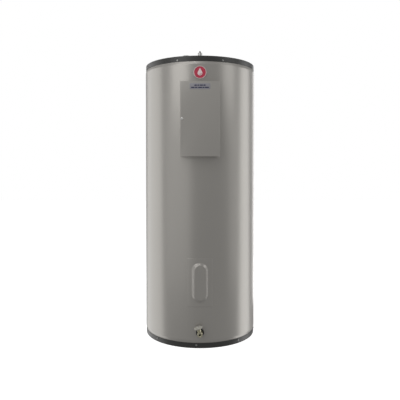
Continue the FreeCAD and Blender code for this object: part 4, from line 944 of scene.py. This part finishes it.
def build_relief_casting():
    """The relief valve's body: pipe thread, hexagon, barrel and the outlet at its back."""
    low, high = span("relief_valve_body")
    joint, reach = high.z, high.y
    barrel, bore, outlet, passage = 16 * MM, 7 * MM, 12.1 * MM, 10.5 * MM
    waist, skin = barrel - 1.2 * MM, barrel - 1.4 * MM
    outline = rounded([(bore, low.z), (PIPE_RADIUS, low.z), (PIPE_RADIUS, SHOULDER), (waist, SHOULDER),
                       (waist, 1522 * MM), (barrel, 1527 * MM), (barrel, joint - 3 * MM),
                       (barrel, joint), (VALVE_CHAMBER, joint), (VALVE_CHAMBER, VALVE_SEAT),
                       (bore, VALVE_SEAT)],
                      [r * MM for r in (0.2, 0.2, 0.2, 2, 3, 0, 0.5, 0.5, 0.2)], 4)
    along = at(z=1545 * MM) @ rotate(-90, "X")
    core = carve(tube_of(outline, 128), moved(drum(passage, MM, 20 * MM, 96), along),
                 moved(drum(outlet, 14 * MM, 40 * MM, 96), along))
    port = tube_of([(outlet, 9 * MM), (skin, 9 * MM), (skin, 20 * MM), (barrel - 0.2 * MM, 22 * MM),
                    (barrel, 23 * MM), (barrel, reach - MM), (barrel - 0.8 * MM, reach),
                    (outlet + 0.8 * MM, reach), (outlet, reach - 0.8 * MM)], 128)
    inside = drum(barrel - 1.5 * MM, 1520 * MM, 1570 * MM, 128)
    port = carve(moved(port, along), inside)
    collar = nut(19 * MM, SHOULDER, SHOULDER + 12 * MM, 14.2 * MM)
    stand_in("relief_valve_casting", [core, port, collar], "relief_valve_body")


def build_relief_case():
    """The spring's case, crimped onto the body."""
    low, high = span("relief_valve_bonnet")
    crimp, waist, stem_bore, roof = 15 * MM, 12.5 * MM, 2.56 * MM, high.z - 3 * MM
    outline = rounded([(VALVE_CHAMBER, low.z), (crimp, low.z), (crimp, low.z + 1.6 * MM),
                       (waist, low.z + 4.4 * MM), (waist, high.z - 2.2 * MM), (waist - 2 * MM, high.z),
                       (stem_bore, high.z), (stem_bore, roof), (VALVE_CHAMBER, roof)],
                      [r * MM for r in (0.4, 0.7, 1.4, 1, 1, 0.5, 0.2, 1)], 5)
    stand_in("relief_valve_case", [tube_of(outline, 128)], "relief_valve_bonnet")


def build_relief_spindle():
    """The disc that closes on the seat, its stem, and the rivet that the lever turns on."""
    disc, stem, tip = 9 * MM, 2.5 * MM, LEVER_PIVOT + 3.5 * MM
    under, over = VALVE_SEAT + 0.3 * MM, VALVE_SEAT + 3 * MM
    spindle = turned([(0, under), (disc, under), (disc, over), (stem, over), (stem, tip - 1.1 * MM),
                      (stem - MM, tip), (0, tip)], 0.4 * MM, steps=4)
    piece("relief_valve_spindle", [spindle], dark_brass, "relief_stem",
          ("relief_valve_stem",))
    rivet = turned(mm([(0, -4.3), (1, -4.3), (1, 4.3), (0, 4.3)]), 0.3 * MM, 32)
    stand_in("relief_lever_rivet", [moved(rivet, at(z=LEVER_PIVOT) @ rotate(90, "Y"))],
             "relief_lever_pin", "relief_stem")


def build_relief_lever():
    """A folded strip: two rounded cheeks, a bridge and a tail with a turned-down lip."""
    low, high = span("relief_valve_lever")
    cheek, lip, under = 1.0 * MM, 1.5 * MM, LEVER_PIVOT + 2.5 * MM
    side = mm([(-4, -1.6), (-3.4, -2.9), (-2.0, -3.5), (9.5, -3.5), (12, -1.0), (12, 4.0), (-1.5, 4.0),
               (-3.4, 3.0), (-4, 1.6)])
    parts = []
    for start in (low.x, high.x - cheek):
        upright = Matrix(((0, 1, 0, start), (1, 0, 0, 0), (0, 0, 1, LEVER_PIVOT), (0, 0, 0, 1)))
        plate = moved(slab(side, cheek, 0.15 * MM), upright)
        bmesh.ops.recalc_face_normals(plate, faces=plate.faces)
        parts.append(plate)
    parts.append(box((low.x, 5 * MM, under), (high.x, high.y - 0.2 * MM, high.z), 0.4 * MM, 3))
    parts.append(box((low.x, high.y - lip, LEVER_PIVOT - 2 * MM), (high.x, high.y, high.z), 0.5 * MM, 3))
    stand_in("relief_valve_handle", parts, "relief_valve_lever", "relief_lever")


# ---- door hardware ----


def build_door_screw():
    """The captive screw: a domed, slotted head and its pointed shank."""
    low, high = span("door_screw")
    middle = centre("door_screw")
    head, seat, shank = (high.x - low.x) / 2, 3.2 * MM, 2.4 * MM
    tip = low.y + seat - high.y
    dome = turned([(0, 0), (head, 0), (head, 1.3 * MM), (head * 0.62, seat - 0.25 * MM), (0, seat)],
                  [0.3 * MM, 1.1 * MM, 1.5 * MM], 96, 6)
    slot = box((-7 * MM, -0.7 * MM, 1.8 * MM), (7 * MM, 0.7 * MM, 5 * MM))
    point = lathe([(0, tip), (shank / 2, tip), (shank, tip + 1.4 * MM), (shank, 0.2 * MM),
                   (0, 0.2 * MM)], 48)
    place = at(middle.x, low.y + seat, middle.z) @ FRONT
    stand_in("door_captive_screw", [moved(carve(dome, slot), place), moved(point, place)],
             "door_screw", "door_screw")


def build_door_rivets():
    """The two hinge pins, each riveted over at the outer end."""
    low, high = span("door_hinge_pins")
    middle = centre("door_hinge_pins")
    head, shank, reach, end = (high.x - low.x) / 2, 2 * MM, 4.4 * MM, 5.9 * MM
    outline = [(0, 0), (shank, 0), (shank, reach), (head, reach), (head, end), (0, end)]
    places = (at(middle.x, middle.y, low.z), at(middle.x, middle.y, high.z) @ rotate(180, "X"))
    rivets = [moved(turned(outline, [0.6 * MM, 0.1 * MM, 0.3 * MM, 0.6 * MM], 48), place)
              for place in places]
    stand_in("door_hinge_rivets", rivets, "door_hinge_pins")


# ---- inside the wiring box and the lower pocket ----


def build_box_screws():
    """The screws down both flanges of the box, and the bonding screw above it."""
    radius, across = JACKET_RADIUS + 1.35 * MM, 91.3 * MM
    places = [on_cylinder(math.asin(side * across / radius), radius, height)
              for side in (-1, 1) for height in (1016.7 * MM, 1179.5 * MM, 1342.3 * MM)]
    bond = on_cylinder(math.radians(14), JACKET_RADIUS, 1346.3 * MM)
    stand_in("box_flange_screws", [moved(part, place) for place in places for part in washer_screw()],
             "control_box_screws")
    stand_in("bonding_screw", [moved(part, bond) for part in washer_screw()], "ground_screw")


def slotted_head(radius, thick):
    """A low domed screw head standing on z = 0."""
    head = turned([(0, 0), (radius, 0), (radius, thick * 0.6), (radius * 0.6, thick), (0, thick)],
                  [0.2 * MM, 0.8 * MM, 0.5 * MM], 48)
    slot = box((-5 * MM, -0.5 * MM, thick - 1.0 * MM), (5 * MM, 0.5 * MM, thick + MM))
    return carve(head, slot)


def build_terminal_screws():
    elements = [(x, -291, z) for x in (-8.5, 8.5) for z in (1060, 268)]
    upper_thermostat = [(x, -282, z) for x in (-18, 18) for z in (1154, 1178, 1202)]
    lower_thermostat = [(x, -282, 396) for x in (-15, 15)]
    block = [(x, -322, z) for x in (-30, 0, 30) for z in (1292, 1315)]
    parts = []
    for index, spot in enumerate(elements + upper_thermostat + lower_thermostat + block):
        place = Matrix.Translation(Vector(spot) * MM) @ FRONT @ Matrix.Rotation(index * 0.9, 4, "Z")
        parts.append(moved(slotted_head(3.6 * MM, 2.4 * MM), place))
    stand_in("terminal_screw_heads", parts, "terminal_screws")


def build_dials():
    """Knurled discs with a finger slot and a ring of plain marks."""
    thick, well, knurl, flutes, marks = 3 * MM, 2.5 * MM, 0.7 * MM, 30, 9
    for name, node in (("upper_dial_knob", "upper_dial"), ("lower_dial_knob", "lower_dial")):
        low, high = span(node)
        middle = centre(node)
        radius = (high.x - low.x) / 2
        outline = rounded([(0, 0), (radius, 0), (radius, thick), (6.2 * MM, thick), (5.4 * MM, well),
                           (0, well)], [0.3 * MM, 0.6 * MM, 0.3 * MM, 0.3 * MM])

        def swell(angle, out, height):
            dent = 0.045 * (0.5 + 0.5 * math.cos(flutes * angle))
            return 1 - dent if out > radius - knurl else 1.0
        disc = lathe(outline, 240, swell)
        cuts = [box((-0.9 * MM, -6 * MM, 1.6 * MM), (0.9 * MM, 10 * MM, 5 * MM))]
        cuts += [moved(box((-0.25 * MM, 6.6 * MM, thick - 0.3 * MM), (0.25 * MM, 7.8 * MM, thick + MM)),
                       rotate(36 * k, "Z")) for k in range(1, marks + 1)]
        shaft = lathe(mm([(0, -5), (2.4, -5), (2.4, 0.5), (0, 0.5)]), 32)
        place = at(middle.x, low.y + thick, middle.z) @ FRONT
        stand_in(name, [moved(carve(disc, *cuts), place), moved(shaft, place)], node, node)


def build_reset_button():
    low, high = span("reset_button")
    middle = centre("reset_button")
    radius, depth = (high.x - low.x) / 2, high.y - low.y
    button = turned([(0, 0), (radius, 0), (radius, depth - 0.9 * MM), (radius * 0.55, depth),
                     (0, depth)], [0.3 * MM, 1.0 * MM, 0.6 * MM])
    stand_in("reset_plunger", [moved(button, at(middle.x, high.y, middle.z) @ FRONT)],
             "reset_button", "reset_button")


# ---- camera, lights and floor ----


def build_camera():
    data = bpy.data.cameras.new("camera")
    data.sensor_width, data.lens = 36.0, 43.97
    data.shift_y = -0.045
    data.clip_start, data.clip_end = 0.05, 60
    camera = bpy.data.objects.new("camera", data)
    camera.location = (0.0, -2.8085, 0.919)
    camera.rotation_euler = (math.radians(90 - 1.352), 0, 0)
    bpy.context.scene.collection.objects.link(camera)
    bpy.context.scene.camera = camera


# name: bearing from the camera's side in degrees (right positive), distance and height of its
# middle, width and height of its face, all in metres, and power in watts
LIGHTS = {
    "left_strip": (-110, 2.2, 0.4, 2.6, 4.0, 34),
    "left_wide": (-44, 3.0, 0.8, 3.0, 2.4, 9),
    "right_strip": (101, 2.2, 0.4, 1.3, 4.0, 25),
    "right_wide": (70, 3.0, 0.8, 1.2, 2.4, 3),
    "top_left": (-40, 3.0, 2.4, 2.0, 1.5, 14),
    "top_right": (58, 3.0, 2.4, 1.4, 1.5, 8),
    "right_edge": (150, 2.6, 0.8, 0.8, 2.6, 11),
    "overhead": (-25, 1.4, 3.2, 1.4, 1.2, 13),
}
AMBIENT = 0.34


def softbox(name, bearing, distance, height, width, tall, power):
    """A rectangular light round the object; bearing 0 is the camera's side, positive to the right."""
    data = bpy.data.lights.new(name, "AREA")
    data.shape, data.size, data.size_y = "RECTANGLE", width, tall
    data.energy = power
    lamp = bpy.data.objects.new(name, data)
    angle = math.radians(bearing)
    lamp.location = (distance * math.sin(angle), -distance * math.cos(angle), height)
    aim = Vector((0, 0, 0.8)) - lamp.location
    lamp.rotation_euler = aim.to_track_quat("-Z", "Y").to_euler()
    lamp.visible_camera = False  # it still shows in the paint
    bpy.context.scene.collection.objects.link(lamp)


def build_studio():
    world = bpy.data.worlds.new("studio")
    bpy.context.scene.world = world
    world.use_nodes = True
    tree = world.node_tree
    ambient = tree.nodes["Background"]
    ambient.inputs["Color"].default_value = (1, 1, 1, 1)
    ambient.inputs["Strength"].default_value = AMBIENT
    seen = tree.nodes.new("ShaderNodeBackground")
    seen.inputs["Color"].default_value = (1, 1, 1, 1)
    chooser = tree.nodes.new("ShaderNodeMixShader")
    path = tree.nodes.new("ShaderNodeLightPath")
    tree.links.new(path.outputs["Is Camera Ray"], chooser.inputs["Fac"])
    tree.links.new(ambient.outputs["Background"], chooser.inputs[1])
    tree.links.new(seen.outputs["Background"], chooser.inputs[2])
    tree.links.new(chooser.outputs["Shader"], tree.nodes["World Output"].inputs["Surface"])
    for name, numbers in LIGHTS.items():
        softbox(name, *numbers)
    scene = bpy.context.scene
    scene.view_settings.view_transform = "Standard"
    scene.view_settings.look = "None"


def build_floor():
    mesh = bmesh.new()
    bmesh.ops.create_grid(mesh, x_segments=1, y_segments=1, size=12)
    data = bpy.data.meshes.new("floor")
    mesh.to_mesh(data)
    mesh.free()
    floor = bpy.data.objects.new("floor", data)
    floor.location.z = -0.0004
    bpy.context.scene.collection.objects.link(floor)
    pale = Finish("pale_floor", (0.9, 0.9, 0.9), 0.8, Emission_Strength=0.75)
    pale.shader.inputs["Emission Color"].default_value = (1, 1, 1, 1)
    data.materials.append(pale.material)
    floor.visible_diffuse = False
    floor.visible_glossy = False
    floor.visible_shadow = False


dress_frame()
build_jacket()
build_pans()
build_pan_screws()
build_door()
build_label()
build_badge()
build_access_cover()
build_drain_valve()
build_drain_sleeve()
build_nipples()
build_port_rings()
build_anode_plug()
build_conduit_bushing()
build_relief_casting()
build_relief_case()
build_relief_spindle()
build_relief_lever()
build_door_screw()
build_door_rivets()
build_box_screws()
build_terminal_screws()
build_dials()
build_reset_button()
build_floor()
build_camera()
build_studio()
